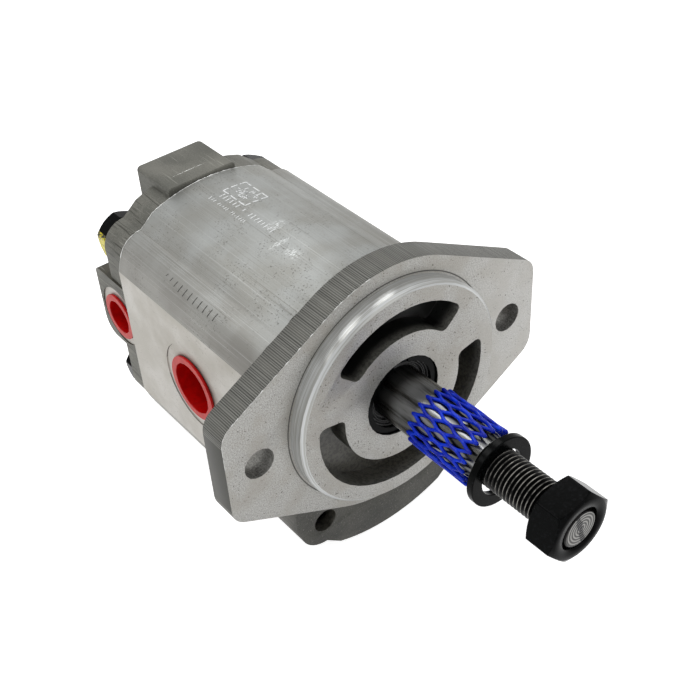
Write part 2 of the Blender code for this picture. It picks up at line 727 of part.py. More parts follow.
def make_through_bolts():
    head_front = PLATE_REAR + SEAT
    head_rear = head_front + BOLT_HEAD_HEIGHT
    for index, (x, z) in enumerate(bolt_places()):
        bolt = prism([hexagon(BOLT_HEAD_FLATS, (x, z), HEAD_TURNS[index])], head_front, head_rear)
        join(bolt, rod(BOLT_R, (x, BOLT_TIP, z), (x, head_front + SEAT, z), SMALL_SIDES))
        keep(bolt, f"through_bolt_{index + 1}", BLACK_STEEL)


def make_dowels():
    for where, joint in (("front", FRONT_JOINT), ("rear", REAR_JOINT)):
        for hand, side in (("left", -1), ("right", 1)):
            keep(dowel(side, joint), f"{where}_dowel_{hand}", STEEL)


def make_shaft_seal():
    outer = SEAL_BORE_R - SEAT
    lip = SHAFT_R + SEAT
    shell = SEAL_SHELL
    middle = (outer + lip) / 2
    section = [(outer, SEAL_REAR), (outer, SEAL_FRONT), (lip + shell, SEAL_FRONT),
               (lip, SEAL_FRONT + shell), (lip, SEAL_FRONT + 2 * shell),
               (middle, SEAL_FRONT + 2 * shell), (middle, SEAL_REAR - shell),
               (outer - shell, SEAL_REAR - shell), (outer - shell, SEAL_REAR)]
    keep(turned(section, ALONG_Y, (0, 0, 0), ROUND_SIDES, ring=True), "shaft_seal", BLACK_RUBBER)


def make_retaining_ring():
    outer = SEAL_BORE_R + RING_BITE - SEAT
    inner = SEAL_BORE_R - RING_WIDTH
    section = [(outer, RING_REAR), (outer, RING_FRONT), (inner, RING_FRONT), (inner, RING_REAR)]
    ring = turned(section, ALONG_Y, (0, 0, 0), ROUND_SIDES, ring=True)
    half = RING_OPENING / 2
    cut(ring, box((-half, RING_FRONT - SEAT, 0), (half, RING_REAR + SEAT, outer + SEAT)))
    keep(ring, "seal_retaining_ring", BLACK_STEEL)


def make_bearing_block(name, gear_face, outward):
    """A figure-eight block that reaches outward (-1 or 1 along Y) from the gears' face.

    Its outer face holds the balance seal and its inner face two slots that relieve the
    oil trapped between the teeth.
    """
    outer_face = gear_face + outward * BLOCK_LENGTH
    block = prism([figure_eight(BLOCK_R)], *sorted((gear_face, outer_face)))
    before = gear_face - outward * SEAT
    for z in (0, -CENTRES):
        cut(block, rod(BLOCK_BORE_R, (0, before, z), (0, outer_face + outward * SEAT, z)))
    slot = sorted((before, gear_face + outward * RELIEF_DEPTH))
    half = RELIEF_HEIGHT / 2
    for near, far in ((RELIEF_NEAR, RELIEF_FAR), (-RELIEF_FAR, -RELIEF_NEAR)):
        cut(block, box((near, slot[0], MIDDLE_Z - half), (far, slot[1], MIDDLE_Z + half)))
    depth = BALANCE_SEAL_DEPTH + SEAT
    groove = sorted((outer_face + outward * SEAT, outer_face - outward * depth))
    cut(block, prism(balance_seal_outlines(SEAT), *groove))
    keep(block, name, BEARING_ALUMINIUM)


def balance_seal_outlines(slack):
    """An eight-shaped seal just inside the block's edge; slack widens it into its groove."""
    outer = BLOCK_R - BALANCE_SEAL_LAND - SEAT
    inner = outer - BALANCE_SEAL_WIDTH
    return [figure_eight(outer + slack), circle((0, 0), inner - slack), circle((0, -CENTRES), inner - slack)]


def make_balance_seals():
    front = FRONT_BLOCK_REAR - BLOCK_LENGTH
    rear = REAR_BLOCK_FRONT + BLOCK_LENGTH
    seal = prism(balance_seal_outlines(0), front, front + BALANCE_SEAL_DEPTH)
    keep(seal, "front_balance_seal", GREEN_RUBBER)
    seal = prism(balance_seal_outlines(0), rear - BALANCE_SEAL_DEPTH, rear)
    keep(seal, "rear_balance_seal", GREEN_RUBBER)


def make_body_seals():
    seal = prism(body_seal_outlines(0), BODY_FRONT, BODY_FRONT + BODY_SEAL_DEPTH)
    keep(seal, "front_body_seal", BLACK_RUBBER)
    seal = prism(body_seal_outlines(0), BODY_REAR - BODY_SEAL_DEPTH, BODY_REAR)
    keep(seal, "rear_body_seal", BLACK_RUBBER)


def make_bushes():
    outer = BUSH_OUTER_R
    inner = BUSH_INNER_R
    for where, block_front in (("front", FRONT_BLOCK_REAR - BLOCK_LENGTH), ("rear", REAR_BLOCK_FRONT)):
        front = block_front + BUSH_INSET
        rear = front + BUSH_LENGTH
        for gear, z in (("drive", 0), ("idler", -CENTRES)):
            section = [(outer, rear), (outer, front), (inner, front), (inner, rear)]
            bush = turned(section, ALONG_Y, (0, 0, z), ROUND_SIDES, ring=True)
            keep(bush, f"{gear}_{where}_bush", BRONZE)


def make_drive_shaft():
    """Gear and shaft in one piece: rear journal, front journal, seal surface, taper, thread."""
    chamfer = TIP_CHAMFER
    rear = GEAR_REAR + JOURNAL_LENGTH
    profile = [(0, rear), (SHAFT_R - chamfer, rear), (SHAFT_R, rear - chamfer),
               (SHAFT_R, CYLINDER_END), (taper_r(TAPER_END), TAPER_END),
               (NECK_R, TAPER_END), (NECK_R, THREAD_START), (THREAD_R - chamfer, THREAD_START),
               (THREAD_R, THREAD_START - chamfer), (THREAD_R, SHAFT_TIP + chamfer),
               (THREAD_R - chamfer, SHAFT_TIP), (0, SHAFT_TIP)]
    shaft = turned(profile, ALONG_Y, (0, 0, 0))
    join(shaft, prism([gear_outline(0, 0)], GEAR_FRONT, GEAR_REAR))
    half = KEY_WIDTH / 2 + SEAT
    seat_z = -key_top()
    cut(shaft, rod(KEY_R + SEAT, (-half, KEY_AT, seat_z), (half, KEY_AT, seat_z)))
    keep(shaft, "drive_shaft", STEEL)


def key_top():
    """The key's flat top, below the axis: its corners lie on the shaft's own radius."""
    return math.sqrt(SHAFT_R ** 2 - (KEY_WIDTH / 2) ** 2)


def make_shaft_key():
    half = KEY_WIDTH / 2
    key = rod(KEY_R, (-half, KEY_AT, -key_top()), (half, KEY_AT, -key_top()))
    reach = KEY_R + SEAT
    cut(key, box((-KEY_WIDTH, KEY_AT - reach, -key_top() - reach), (KEY_WIDTH, KEY_AT + reach, -key_top())))
    keep(key, "shaft_key", STEEL)


def make_idler_gear():
    chamfer = TIP_CHAMFER
    front = GEAR_FRONT - JOURNAL_LENGTH
    rear = GEAR_REAR + JOURNAL_LENGTH
    profile = [(0, rear), (SHAFT_R - chamfer, rear), (SHAFT_R, rear - chamfer),
               (SHAFT_R, front + chamfer), (SHAFT_R - chamfer, front), (0, front)]
    gear = turned(profile, ALONG_Y, (0, 0, -CENTRES))
    join(gear, prism([gear_outline(-CENTRES, math.pi / TEETH)], GEAR_FRONT, GEAR_REAR))
    keep(gear, "idler_gear", STEEL)


def make_sleeve():
    inner = SHAFT_R + SEAT
    outer = inner + SLEEVE_WALL
    section = [(outer, SLEEVE_START), (outer, SLEEVE_END), (inner, SLEEVE_END), (inner, SLEEVE_START)]
    keep(turned(section, ALONG_Y, (0, 0, 0), ROUND_SIDES, ring=True), "net_sleeve", BLUE_PLASTIC)


def make_washer():
    """A loose washer that hangs on the thread, so it sits lower than the shaft's axis."""
    rear = WASHER_REAR
    front = rear - WASHER_THICKNESS
    section = [(WASHER_R, rear), (WASHER_R, front), (WASHER_HOLE_R, front), (WASHER_HOLE_R, rear)]
    washer = turned(section, ALONG_Y, (0, 0, -WASHER_DROP), ROUND_SIDES, ring=True)
    keep(washer, "shaft_washer", BLACK_STEEL)


def make_nut():
    """A hexagon trimmed by cones at both ends, as a nut's corners are."""
    nut = prism([hexagon(NUT_FLATS, (0, 0), NUT_TURN), circle((0, 0), THREAD_R + SEAT)], NUT_FRONT, NUT_REAR)
    corner = NUT_CORNER_R
    face = NUT_FLATS * 0.475
    drop = (corner - face) * math.tan(math.radians(30))
    keeper = [(0, NUT_REAR + SEAT), (face, NUT_REAR + SEAT), (face, NUT_REAR), (corner, NUT_REAR - drop),
              (corner, NUT_FRONT + drop), (face, NUT_FRONT), (face, NUT_FRONT - SEAT), (0, NUT_FRONT - SEAT)]
    boolean(nut, turned(keeper, ALONG_Y, (0, 0, 0)), "INTERSECT")
    keep(nut, "shaft_nut", BLACK_STEEL)


def cap_profile(bore, flange_r, thickness, length, wall):
    """A cup with a flange at its mouth; height 0 is the face that the flange rests on."""
    tube = bore - SEAT
    toe = tube - CAP_DRAFT
    return [(0, wall - length), (toe - wall, wall - length), (tube - wall, thickness),
            (flange_r, thickness), (flange_r, SEAT), (tube, SEAT), (toe, -length), (0, -length)]


def make_caps():
    profile = cap_profile(PORT_R, CAP_FLANGE_R, CAP_FLANGE_THICKNESS, CAP_TUBE_LENGTH, CAP_WALL)
    for hand, side, rotation in (("left", -1, AGAINST_X), ("right", 1, ALONG_X)):
        cap = turned(profile, rotation, (side * PORT_FACE, PORT_Y, MIDDLE_Z))
        keep(cap, f"port_cap_{hand}", RED_PLASTIC)
    profile = cap_profile(DRAIN_R, SMALL_CAP_FLANGE_R, SMALL_CAP_FLANGE_THICKNESS, SMALL_CAP_TUBE_LENGTH,
                          SMALL_CAP_WALL)
    cap = turned(profile, AGAINST_X, (DRAIN_FACE, DRAIN_Y, DRAIN_Z))
    keep(cap, "drain_port_cap", RED_PLASTIC)


def make_axes():
    """Empties on the gears' axes that carry what turns with each gear."""
    for name, z, riders in (
        ("drive_axis", 0, ("drive_shaft", "shaft_key", "shaft_nut", "shaft_washer", "net_sleeve")),
        ("idler_axis", -CENTRES, ("idler_gear",)),
    ):
        empty = bpy.data.objects.new(name, None)
        empty.location = (0, 0, z)
        PARTS.objects.link(empty)
        bpy.context.view_layer.update()
        for rider in riders:
            obj = bpy.data.objects[rider]
            obj.parent = empty
            obj.matrix_parent_inverse = empty.matrix_world.inverted()


make_front_cover()
make_motor_body()
make_rear_cover()
make_through_bolts()
make_dowels()
make_shaft_seal()
make_retaining_ring()
make_bearing_block("front_bearing_block", FRONT_BLOCK_REAR, -1)
make_bearing_block("rear_bearing_block", REAR_BLOCK_FRONT, 1)
make_balance_seals()
make_body_seals()
make_bushes()
make_drive_shaft()
make_shaft_key()
make_idler_gear()
make_sleeve()
make_washer()
make_nut()
make_caps()
make_axes()
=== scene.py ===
# %% [markdown]
# # The finish of a hydraulic fan motor
# The motor is a gear pair inside an aluminium housing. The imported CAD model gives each
# part's true place, and this lesson dresses those parts: worked edges, real threads, a
# plastic net, and the many different skins that one aluminium casting can have.
# All lengths below are in millimetres and are turned into metres at the last moment.

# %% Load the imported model
import math

import bmesh
import bpy
import numpy as np
from mathutils import Matrix, Vector
from mathutils.geometry import tessellate_polygon


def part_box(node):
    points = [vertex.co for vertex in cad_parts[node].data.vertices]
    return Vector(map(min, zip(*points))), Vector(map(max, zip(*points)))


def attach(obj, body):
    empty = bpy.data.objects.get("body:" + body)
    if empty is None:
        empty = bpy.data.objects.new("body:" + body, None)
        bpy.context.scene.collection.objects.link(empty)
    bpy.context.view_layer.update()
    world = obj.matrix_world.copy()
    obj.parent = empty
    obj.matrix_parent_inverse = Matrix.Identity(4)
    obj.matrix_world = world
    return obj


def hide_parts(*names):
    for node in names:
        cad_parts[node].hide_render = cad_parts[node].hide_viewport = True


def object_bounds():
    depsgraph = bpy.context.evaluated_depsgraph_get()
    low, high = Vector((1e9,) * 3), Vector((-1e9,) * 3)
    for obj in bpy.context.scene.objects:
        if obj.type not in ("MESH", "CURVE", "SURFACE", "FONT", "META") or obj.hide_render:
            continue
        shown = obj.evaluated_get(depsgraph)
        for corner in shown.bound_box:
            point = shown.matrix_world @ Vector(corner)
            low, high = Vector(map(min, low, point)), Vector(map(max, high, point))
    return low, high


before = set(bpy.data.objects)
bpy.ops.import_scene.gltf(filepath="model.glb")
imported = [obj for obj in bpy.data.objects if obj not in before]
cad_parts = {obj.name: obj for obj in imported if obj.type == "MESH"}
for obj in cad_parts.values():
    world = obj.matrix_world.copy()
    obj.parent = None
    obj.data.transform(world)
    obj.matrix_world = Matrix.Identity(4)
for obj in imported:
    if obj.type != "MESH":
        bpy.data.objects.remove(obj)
cad_bounds = [list(corner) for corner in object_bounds()]
MM = 0.001
print("parts in the frame:", len(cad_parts))


def box_in_mm(node):
    """A node's lowest and highest corner in millimetres."""
    low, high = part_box(node)
    return np.array(low) / MM, np.array(high) / MM


# %% [markdown]
# ## Camera, floor and light
# A product picture on white needs three things: the same viewpoint, a floor that stays
# white and still takes a soft shadow, and soft lamps from the left, the front and above.
# The viewpoint is a place in millimetres, three axes (right, up and back) and a lens.
# Two lamps above the back draw bright bands across the turned wall of the pilot.

# %% Camera
CAMERA_PLACE = np.array([-183.07, -225.60, 258.86])
CAMERA_AXES = np.array([
    [0.775406, -0.629316, -0.052027],
    [0.435355, 0.473098, 0.765927],
    [-0.457396, -0.616555, 0.640819],
])
LENS = 60.95
camera_data = bpy.data.cameras.new("camera")
camera_data.lens = LENS
camera_data.sensor_width = 36
camera_data.clip_start = 0.01
camera = bpy.data.objects.new("camera", camera_data)
bpy.context.scene.collection.objects.link(camera)
turn = Matrix(CAMERA_AXES.T.tolist()).to_4x4()
camera.matrix_world = Matrix.Translation((CAMERA_PLACE * MM).tolist()) @ turn
bpy.context.scene.camera = camera
print("camera distance in mm:", round(float(np.linalg.norm(CAMERA_PLACE))))


# %% Colours as the eye reads them
def tone(red, green, blue):
    """A display colour from 0 to 255 as the linear colour that a shader wants."""
    shown = np.array([red, green, blue]) / 255.0
    linear = np.where(shown <= 0.04045, shown / 12.92, ((shown + 0.055) / 1.055) ** 2.4)
    return (*linear.tolist(), 1.0)


# %% Floor and world
def seen_directly(tree):
    """1 for camera, glossy and transmission rays, so that metal reflects the white as well."""
    paths = tree.nodes.new("ShaderNodeLightPath")
    seen = paths.outputs["Is Camera Ray"]
    for name in ("Is Glossy Ray", "Is Transmission Ray"):
        either = tree.nodes.new("ShaderNodeMath")
        either.operation = "MAXIMUM"
        tree.links.new(seen, either.inputs[0])
        tree.links.new(paths.outputs[name], either.inputs[1])
        seen = either.outputs[0]
    return seen


FLOOR_Z = cad_bounds[0][2]
FLOOR_HALF = 3.0
FLOOR_GLOW = 0.8
floor_data = bpy.data.meshes.new("floor")
corners = np.array([[-1, -1], [1, -1], [1, 1], [-1, 1]]) * FLOOR_HALF
floor_data.from_pydata([(x, y, FLOOR_Z) for x, y in corners], [], [(0, 1, 2, 3)])
floor = bpy.data.objects.new("floor", floor_data)
bpy.context.scene.collection.objects.link(floor)
floor_finish = bpy.data.materials.new("pale_floor")
floor_finish.use_nodes = True
floor_tree = floor_finish.node_tree
floor_tree.nodes.clear()
floor_paint = floor_tree.nodes.new("ShaderNodeBsdfDiffuse")
floor_paint.inputs["Color"].default_value = (0.9, 0.9, 0.9, 1.0)
floor_glow = floor_tree.nodes.new("ShaderNodeEmission")
glow = floor_tree.nodes.new("ShaderNodeMath")
glow.operation = "MULTIPLY"
glow.inputs[1].default_value = FLOOR_GLOW
floor_both = floor_tree.nodes.new("ShaderNodeAddShader")
floor_out = floor_tree.nodes.new("ShaderNodeOutputMaterial")
floor_tree.links.new(seen_directly(floor_tree), glow.inputs[0])
floor_tree.links.new(glow.outputs[0], floor_glow.inputs["Strength"])
floor_tree.links.new(floor_paint.outputs[0], floor_both.inputs[0])
floor_tree.links.new(floor_glow.outputs[0], floor_both.inputs[1])
floor_tree.links.new(floor_both.outputs[0], floor_out.inputs["Surface"])
floor_data.materials.append(floor_finish)

world = bpy.data.worlds.new("studio")
world.use_nodes = True
bpy.context.scene.world = world
world_tree = world.node_tree
sky = world_tree.nodes["Background"]
sky.inputs["Color"].default_value = (1.0, 1.0, 1.0, 1.0)
SKY_STRENGTH = 0.42
sky.inputs["Strength"].default_value = SKY_STRENGTH
white_sky = world_tree.nodes.new("ShaderNodeBackground")
white_sky.inputs["Color"].default_value = (1.0, 1.0, 1.0, 1.0)
white_sky.inputs["Strength"].default_value = 1.0
world_mix = world_tree.nodes.new("ShaderNodeMixShader")
world_tree.links.new(seen_directly(world_tree), world_mix.inputs["Fac"])
world_tree.links.new(sky.outputs[0], world_mix.inputs[1])
world_tree.links.new(white_sky.outputs[0], world_mix.inputs[2])
world_tree.links.new(world_mix.outputs[0], world_tree.nodes["World Output"].inputs["Surface"])
bpy.context.scene.view_settings.view_transform = "Standard"


# %% Soft lamps
def soft_lamp(name, place, aim, size, power):
    """A square lamp at a place in millimetres that looks at another place."""
    data = bpy.data.lights.new(name, "AREA")
    data.shape = "SQUARE"
    data.size = size * MM
    data.energy = power
    lamp = bpy.data.objects.new(name, data)
    bpy.context.scene.collection.objects.link(lamp)
    back = np.array(place, float) - np.array(aim, float)
    back /= np.linalg.norm(back)
    side = np.cross([0, 0, 1.0], back)
    side /= np.linalg.norm(side)
    axes = np.column_stack([side, np.cross(back, side), back])
    lamp.matrix_world = Matrix.Translation([value * MM for value in place]) @ Matrix(axes.tolist()).to_4x4()
    return lamp


soft_lamp("left_lamp", (-900, -160, 300), (0, 30, 0), 800, 0.72)
soft_lamp("top_lamp", (-227, 450, 864), (0, 0, 0), 260, 1.5)
soft_lamp("front_lamp", (420, -900, 520), (0, 0, 0), 600, 1.3)
soft_lamp("window_lamp", (362, 450, 816), (0, 0, 0), 280, 1.6)
soft_lamp("rim_lamp", (-582, 450, 677), (0, 0, 0), 150, 0.4)

# %% [markdown]
# ## A short way to write finishes
# Every finish is a Principled shader with a few textures in front of it. Patterns read
# Object coordinates, scaled so that one unit is one millimetre, so a pattern has its real
# size and stays fixed to the part. A small class keeps the recipes readable.


# %% Finish recipes
class Finish:
    """One material, with short calls for the nodes that this motor's skins share."""

    def __init__(self, name, colour, roughness, metallic):
        self.material = bpy.data.materials.new(name)
        self.material.use_nodes = True
        self.tree = self.material.node_tree
        self.shader = self.tree.nodes["Principled BSDF"]
        self.shader.inputs["Base Color"].default_value = colour
        self.shader.inputs["Roughness"].default_value = roughness
        self.shader.inputs["Metallic"].default_value = metallic
        self.bumps = None

    def node(self, kind, **sockets):
        made = self.tree.nodes.new(kind)
        for name, value in sockets.items():
            self.put(value, made.inputs[name.replace("_", " ")])
        return made

    def put(self, value, socket):
        if isinstance(value, bpy.types.NodeSocket):
            self.tree.links.new(value, socket)
        else:
            socket.default_value = value

    def place(self, scale=(1, 1, 1), centre=(0, 0, 0)):
        """Object coordinates in millimetres from a centre, stretched by a scale."""
        where = self.node("ShaderNodeTexCoord").outputs["Object"]
        mapping = self.node("ShaderNodeMapping", Vector=where)
        mapping.inputs["Scale"].default_value = [1000 * s for s in scale]
        mapping.inputs["Location"].default_value = [-c * s for c, s in zip(centre, scale)]
        return mapping.outputs[0]

    def noise(self, scale, detail=3.0, rough=0.5, at=None):
        made = self.node("ShaderNodeTexNoise", Vector=at or self.place(), Scale=scale, Detail=detail)
        made.inputs["Roughness"].default_value = rough
        return made.outputs[0]

    def specks(self, scale, level, patch):
        """Small ragged specks where a fine noise peaks, gathered in patches by a broad one."""
        fine = self.step(self.noise(scale, 2.0, 0.6), level, level + 0.05)
        return self.times(fine, self.step(self.noise(patch, 2.0), 0.44, 0.56))

    def step(self, value, low, high):
        """0 below low, 1 above high, smooth between."""
        made = self.node("ShaderNodeMapRange")
        made.interpolation_type = "SMOOTHSTEP"
        self.put(value, made.inputs["Value"])
        made.inputs["From Min"].default_value = low
        made.inputs["From Max"].default_value = high
        return made.outputs[0]

    def maths(self, operation, first, second=0.0):
        made = self.node("ShaderNodeMath")
        made.operation = operation
        self.put(first, made.inputs[0])
        self.put(second, made.inputs[1])
        return made.outputs[0]

    def times(self, first, second):
        return self.maths("MULTIPLY", first, second)

    def off(self, value, middle):
        """How far a value lies from a middle value, either way."""
        return self.maths("ABSOLUTE", self.maths("SUBTRACT", value, middle))

    def axis(self, name):
        """One Object coordinate in millimetres."""
        return self.node("ShaderNodeSeparateXYZ", Vector=self.place()).outputs[name]

    def away(self, centre, scale=(1, 1, 1)):
        """Distance in millimetres from a centre, with each axis weighed by a scale."""
        length = self.node("ShaderNodeVectorMath")
        length.operation = "LENGTH"
        self.put(self.place(scale, centre), length.inputs[0])
        return length.outputs["Value"]

    def mix(self, share, first, second):
        made = self.node("ShaderNodeMix")
        made.data_type = "RGBA"
        self.put(share, made.inputs[0])
        self.put(first, made.inputs[6])
        self.put(second, made.inputs[7])
        return made.outputs[2]

    def colour(self, value):
        self.put(value, self.shader.inputs["Base Color"])

    def roughness(self, value, low, high):
        """Roughness between low and high where the value goes from 0 to 1."""
        made = self.node("ShaderNodeMapRange")
        self.put(value, made.inputs["Value"])
        made.inputs["To Min"].default_value = low
        made.inputs["To Max"].default_value = high
        self.put(made.outputs[0], self.shader.inputs["Roughness"])

    def brushed_round(self, share=0.8):
        """Fine rings about the Y axis, which draw a highlight out along that axis."""
        rings = self.node("ShaderNodeTangent")
        rings.direction_type = "RADIAL"
        rings.axis = "Y"
        self.put(rings.outputs[0], self.shader.inputs["Tangent"])
        self.put(share, self.shader.inputs["Anisotropic"])
        self.put(0.25, self.shader.inputs["Anisotropic Rotation"])

    def bump(self, height, depth):
        """Adds a relief of a depth in millimetres to the ones before it."""
        made = self.node("ShaderNodeBump", Height=height, Distance=depth * MM)
        if self.bumps is not None:
            self.put(self.bumps, made.inputs["Normal"])
        self.bumps = made.outputs[0]
        self.put(self.bumps, self.shader.inputs["Normal"])


# %% [markdown]
# ## Aluminium, many ways
# The housing is one metal, and yet it shows in very different greys. The faced flange is
# light and speckled, the pilot's wall is turned bright, the sawn rim is dark and ribbed,
# the extrusion has long drawn lines, the port flats are milled almost white and the rear
# cover is a dull cast grey. One recipe per kind of skin keeps those differences honest.


# %% Faced aluminium
GROOVE_SHADE_R = 42.0


def faced_aluminium():
    """Light satin grey: fine grain, hair scratches and sparse pits, with painted light that pales the face
    to the right and a ring of painted shade at the pilot's base.
    """
    skin = Finish("faced_aluminium", tone(190, 189, 185), 0.5, 0.6)
    grain = skin.noise(2.2, 4.0, 0.7)
    cloud = skin.noise(0.07, 3.0)
    light = skin.mix(skin.step(grain, 0.38, 0.62), tone(148, 147, 142), tone(190, 189, 186))
    warm = skin.mix(skin.times(skin.step(cloud, 0.42, 0.62), 0.6), light, tone(158, 154, 146))
    # Painted light: the face is mixed towards a paler grey on its right side, from X 20 to X 60.
    painted_light_right = skin.times(skin.step(skin.axis("X"), 20.0, 60.0), 0.35)
    bright = skin.mix(painted_light_right, warm, tone(206, 205, 202))
    scratch = skin.noise(0.3, 2.0, 0.5, skin.place((0.5, 1, 1.4)))
    hair = skin.step(skin.off(scratch, 0.5), 0.006, 0.0)
    lined = skin.mix(skin.times(hair, 0.3), bright, tone(112, 110, 104))
    patchy = skin.specks(1.3, 0.62, 0.15)
    pitted = skin.mix(skin.times(patchy, 0.85), lined, tone(80, 77, 70))
    # Painted shade: a thin dark ring just outside the pilot's base, drawn in colour only; the mesh has no
    # groove there.
    from_axis = skin.away((0, 0, 0), (1, 0, 1))
    groove_shade = skin.step(skin.off(from_axis, GROOVE_SHADE_R), 0.34, 0.12)
    skin.colour(skin.mix(groove_shade, pitted, tone(84, 83, 80)))
    skin.roughness(grain, 0.42, 0.58)
    skin.bump(grain, 0.02)
    skin.bump(patchy, -0.05)
    return skin.material


# %% Turned pilot wall
def turned_aluminium():
    """Bright metal with fine lines round the shaft's axis."""
    skin = Finish("turned_aluminium", tone(196, 197, 196), 0.4, 0.55)
    lines = skin.noise(1.0, 2.0, 0.6, skin.place((0.03, 2.6, 0.03)))
    skin.colour(skin.mix(skin.step(lines, 0.38, 0.62), tone(166, 166, 162), tone(196, 198, 198)))
    skin.roughness(skin.noise(0.3), 0.28, 0.34)
    skin.brushed_round(0.85)
    skin.bump(lines, 0.003)
    return skin.material


# %% Sawn rim
RIB_PITCH = 0.72


def sawn_rim():
    """Dark grey edge of the flange, ribbed along the shaft's axis by the saw.

    The rib pattern reads the distance round the outline, which is kept on the mesh."""
    skin = Finish("sawn_rim", tone(105, 104, 99), 0.55, 0.5)
    run = skin.node("ShaderNodeAttribute")
    run.attribute_name = "round_the_rim"
    depth = skin.times(skin.axis("Y"), 0.015)
    where = skin.node("ShaderNodeCombineXYZ", X=run.outputs["Fac"], Y=depth).outputs[0]
    wobble = skin.times(skin.noise(0.35, 2.0, 0.5, where), 9.0)
    turns = skin.maths("ADD", skin.times(run.outputs["Fac"], 2 * math.pi / RIB_PITCH), wobble)
    ribs = skin.maths("SINE", turns)
    broad = skin.noise(0.2, 3.0, 0.6, where)
    uneven = skin.times(skin.maths("SUBTRACT", skin.noise(0.9, 3.0, 0.7, where), 0.5), 5.0)
    height = skin.step(skin.maths("ADD", ribs, uneven), -1.4, 1.4)
    rib_tone = skin.mix(height, tone(60, 60, 56), tone(122, 122, 117))
    patches = skin.times(skin.step(broad, 0.42, 0.66), 0.4)
    skin.colour(skin.mix(patches, rib_tone, tone(112, 111, 105)))
    skin.bump(ribs, 0.05)
    return skin.material


# %% Extruded aluminium
SCUFFS = (
    ((-5, 50.3, 34), (0.26, 0.9, 0.3)),
    ((1, 59.5, 34), (0.3, 0.5, 0.3)),
    ((-5, 42, 34), (0.5, 0.3, 0.3)),
)


def scuffed(skin, under):
    """Lays a few light, ragged scuffs over a colour, each an ellipsoid broken up by noise."""
    ragged = skin.noise(1.1, 4.0, 0.7, skin.place((0.6, 1.6, 0.6)))
    for centre, scale in SCUFFS:
        near = skin.step(skin.away(centre, scale), 1.6, 0.2)
        share = skin.times(near, skin.step(ragged, 0.46, 0.62))
        under = skin.mix(skin.times(share, 0.8), under, tone(226, 229, 228))
    return under


def extruded_aluminium():
    """Mid grey with long drawn lines, cloudy patches, pits, a few light scuffs and painted shade below the
    crown.
    """
    skin = Finish("extruded_aluminium", tone(176, 176, 172), 0.5, 0.6)
    drawn = skin.noise(1.0, 4.0, 0.75, skin.place((2.2, 0.008, 2.2)))
    where_lined = skin.step(skin.noise(1.0, 2.0, 0.5, skin.place((0.16, 0.02, 0.16))), 0.40, 0.60)
    soft = skin.noise(0.05, 3.0, 0.5)
    grain = skin.noise(1.4, 4.0, 0.65)
    # Painted shade: below the crown the skin turns to darker greys, from Z 30 down to Z 17.
    dull = skin.mix(skin.step(soft, 0.35, 0.65), tone(134, 132, 127), tone(148, 147, 142))
    plain_tone = skin.mix(skin.step(soft, 0.35, 0.65), tone(146, 146, 141), tone(160, 162, 160))
    base = skin.mix(skin.step(skin.axis("Z"), 17.0, 30.0), dull, plain_tone)
    grained = skin.mix(skin.times(skin.step(grain, 0.46, 0.32), 0.45), base, tone(134, 132, 125))
    dark_lines = skin.times(skin.step(drawn, 0.46, 0.36), skin.times(where_lined, 0.55))
    lined = skin.mix(dark_lines, grained, tone(112, 110, 103))
    light_lines = skin.times(skin.step(drawn, 0.56, 0.68), 0.4)
    lined = skin.mix(light_lines, lined, tone(196, 197, 195))
    patchy = skin.specks(1.5, 0.62, 0.08)
    pitted = skin.mix(skin.times(patchy, 0.55), lined, tone(84, 80, 72))
    skin.colour(scuffed(skin, pitted))
    skin.roughness(grain, 0.44, 0.6)
    skin.bump(drawn, 0.05)
    skin.bump(patchy, -0.06)
    return skin.material


# %% Milled port flat
def milled_flat():
    """Nearly white satin flat with a soft cloud and a few hair scratches."""
    skin = Finish("milled_flat", tone(206, 202, 196), 0.5, 0.4)
    cloud = skin.noise(0.06, 3.0)
    grain = skin.noise(2.0, 3.0)
    light = skin.mix(skin.step(cloud, 0.35, 0.68), tone(176, 172, 163), tone(196, 193, 187))
    scratch = skin.noise(0.16, 2.0, 0.4, skin.place((1, 0.5, 1.6)))
    lines = skin.step(skin.off(scratch, 0.5), 0.008, 0.0)
    scratched = skin.mix(skin.times(lines, 0.3), light, tone(140, 136, 128))
    specks = skin.specks(1.4, 0.64, 0.12)
    skin.colour(skin.mix(skin.times(specks, 0.6), scratched, tone(128, 122, 110)))
    skin.roughness(grain, 0.44, 0.58)
    skin.bump(grain, 0.012)
    return skin.material


# %% Cast cover and raw cast lobe
def cast_aluminium(name, dark, light, relief, drawn=0.0):
    """Dull cast skin between two greys, sandy, with lines along the shaft's axis.

    drawn is how dark the lines on the left lobe are."""
    skin = Finish(name, light, 0.55, 0.6)
    sand = skin.noise(1.8, 5.0, 0.7)
    cloud = skin.noise(0.08, 3.0)
    tool_lines = skin.noise(1.0, 2.0, 0.5, skin.place((1.8, 0.06, 1.8)))
    shade = skin.maths("ADD", skin.times(sand, 0.55), skin.times(cloud, 0.45))
    body = skin.mix(skin.step(shade, 0.38, 0.62), dark, light)
    light_lines = skin.times(skin.step(tool_lines, 0.62, 0.72), 0.35)
    pale = skin.mix(light_lines, body, tone(170, 169, 161))
    off_pad = skin.times(skin.step(skin.axis("X"), -12.0, -20.0), drawn)
    dark_lines = skin.times(skin.step(tool_lines, 0.44, 0.34), off_pad)
    skin.colour(skin.mix(dark_lines, pale, tone(44, 43, 38)))
    skin.roughness(sand, 0.5, 0.68)
    skin.bump(sand, relief)
    return skin.material


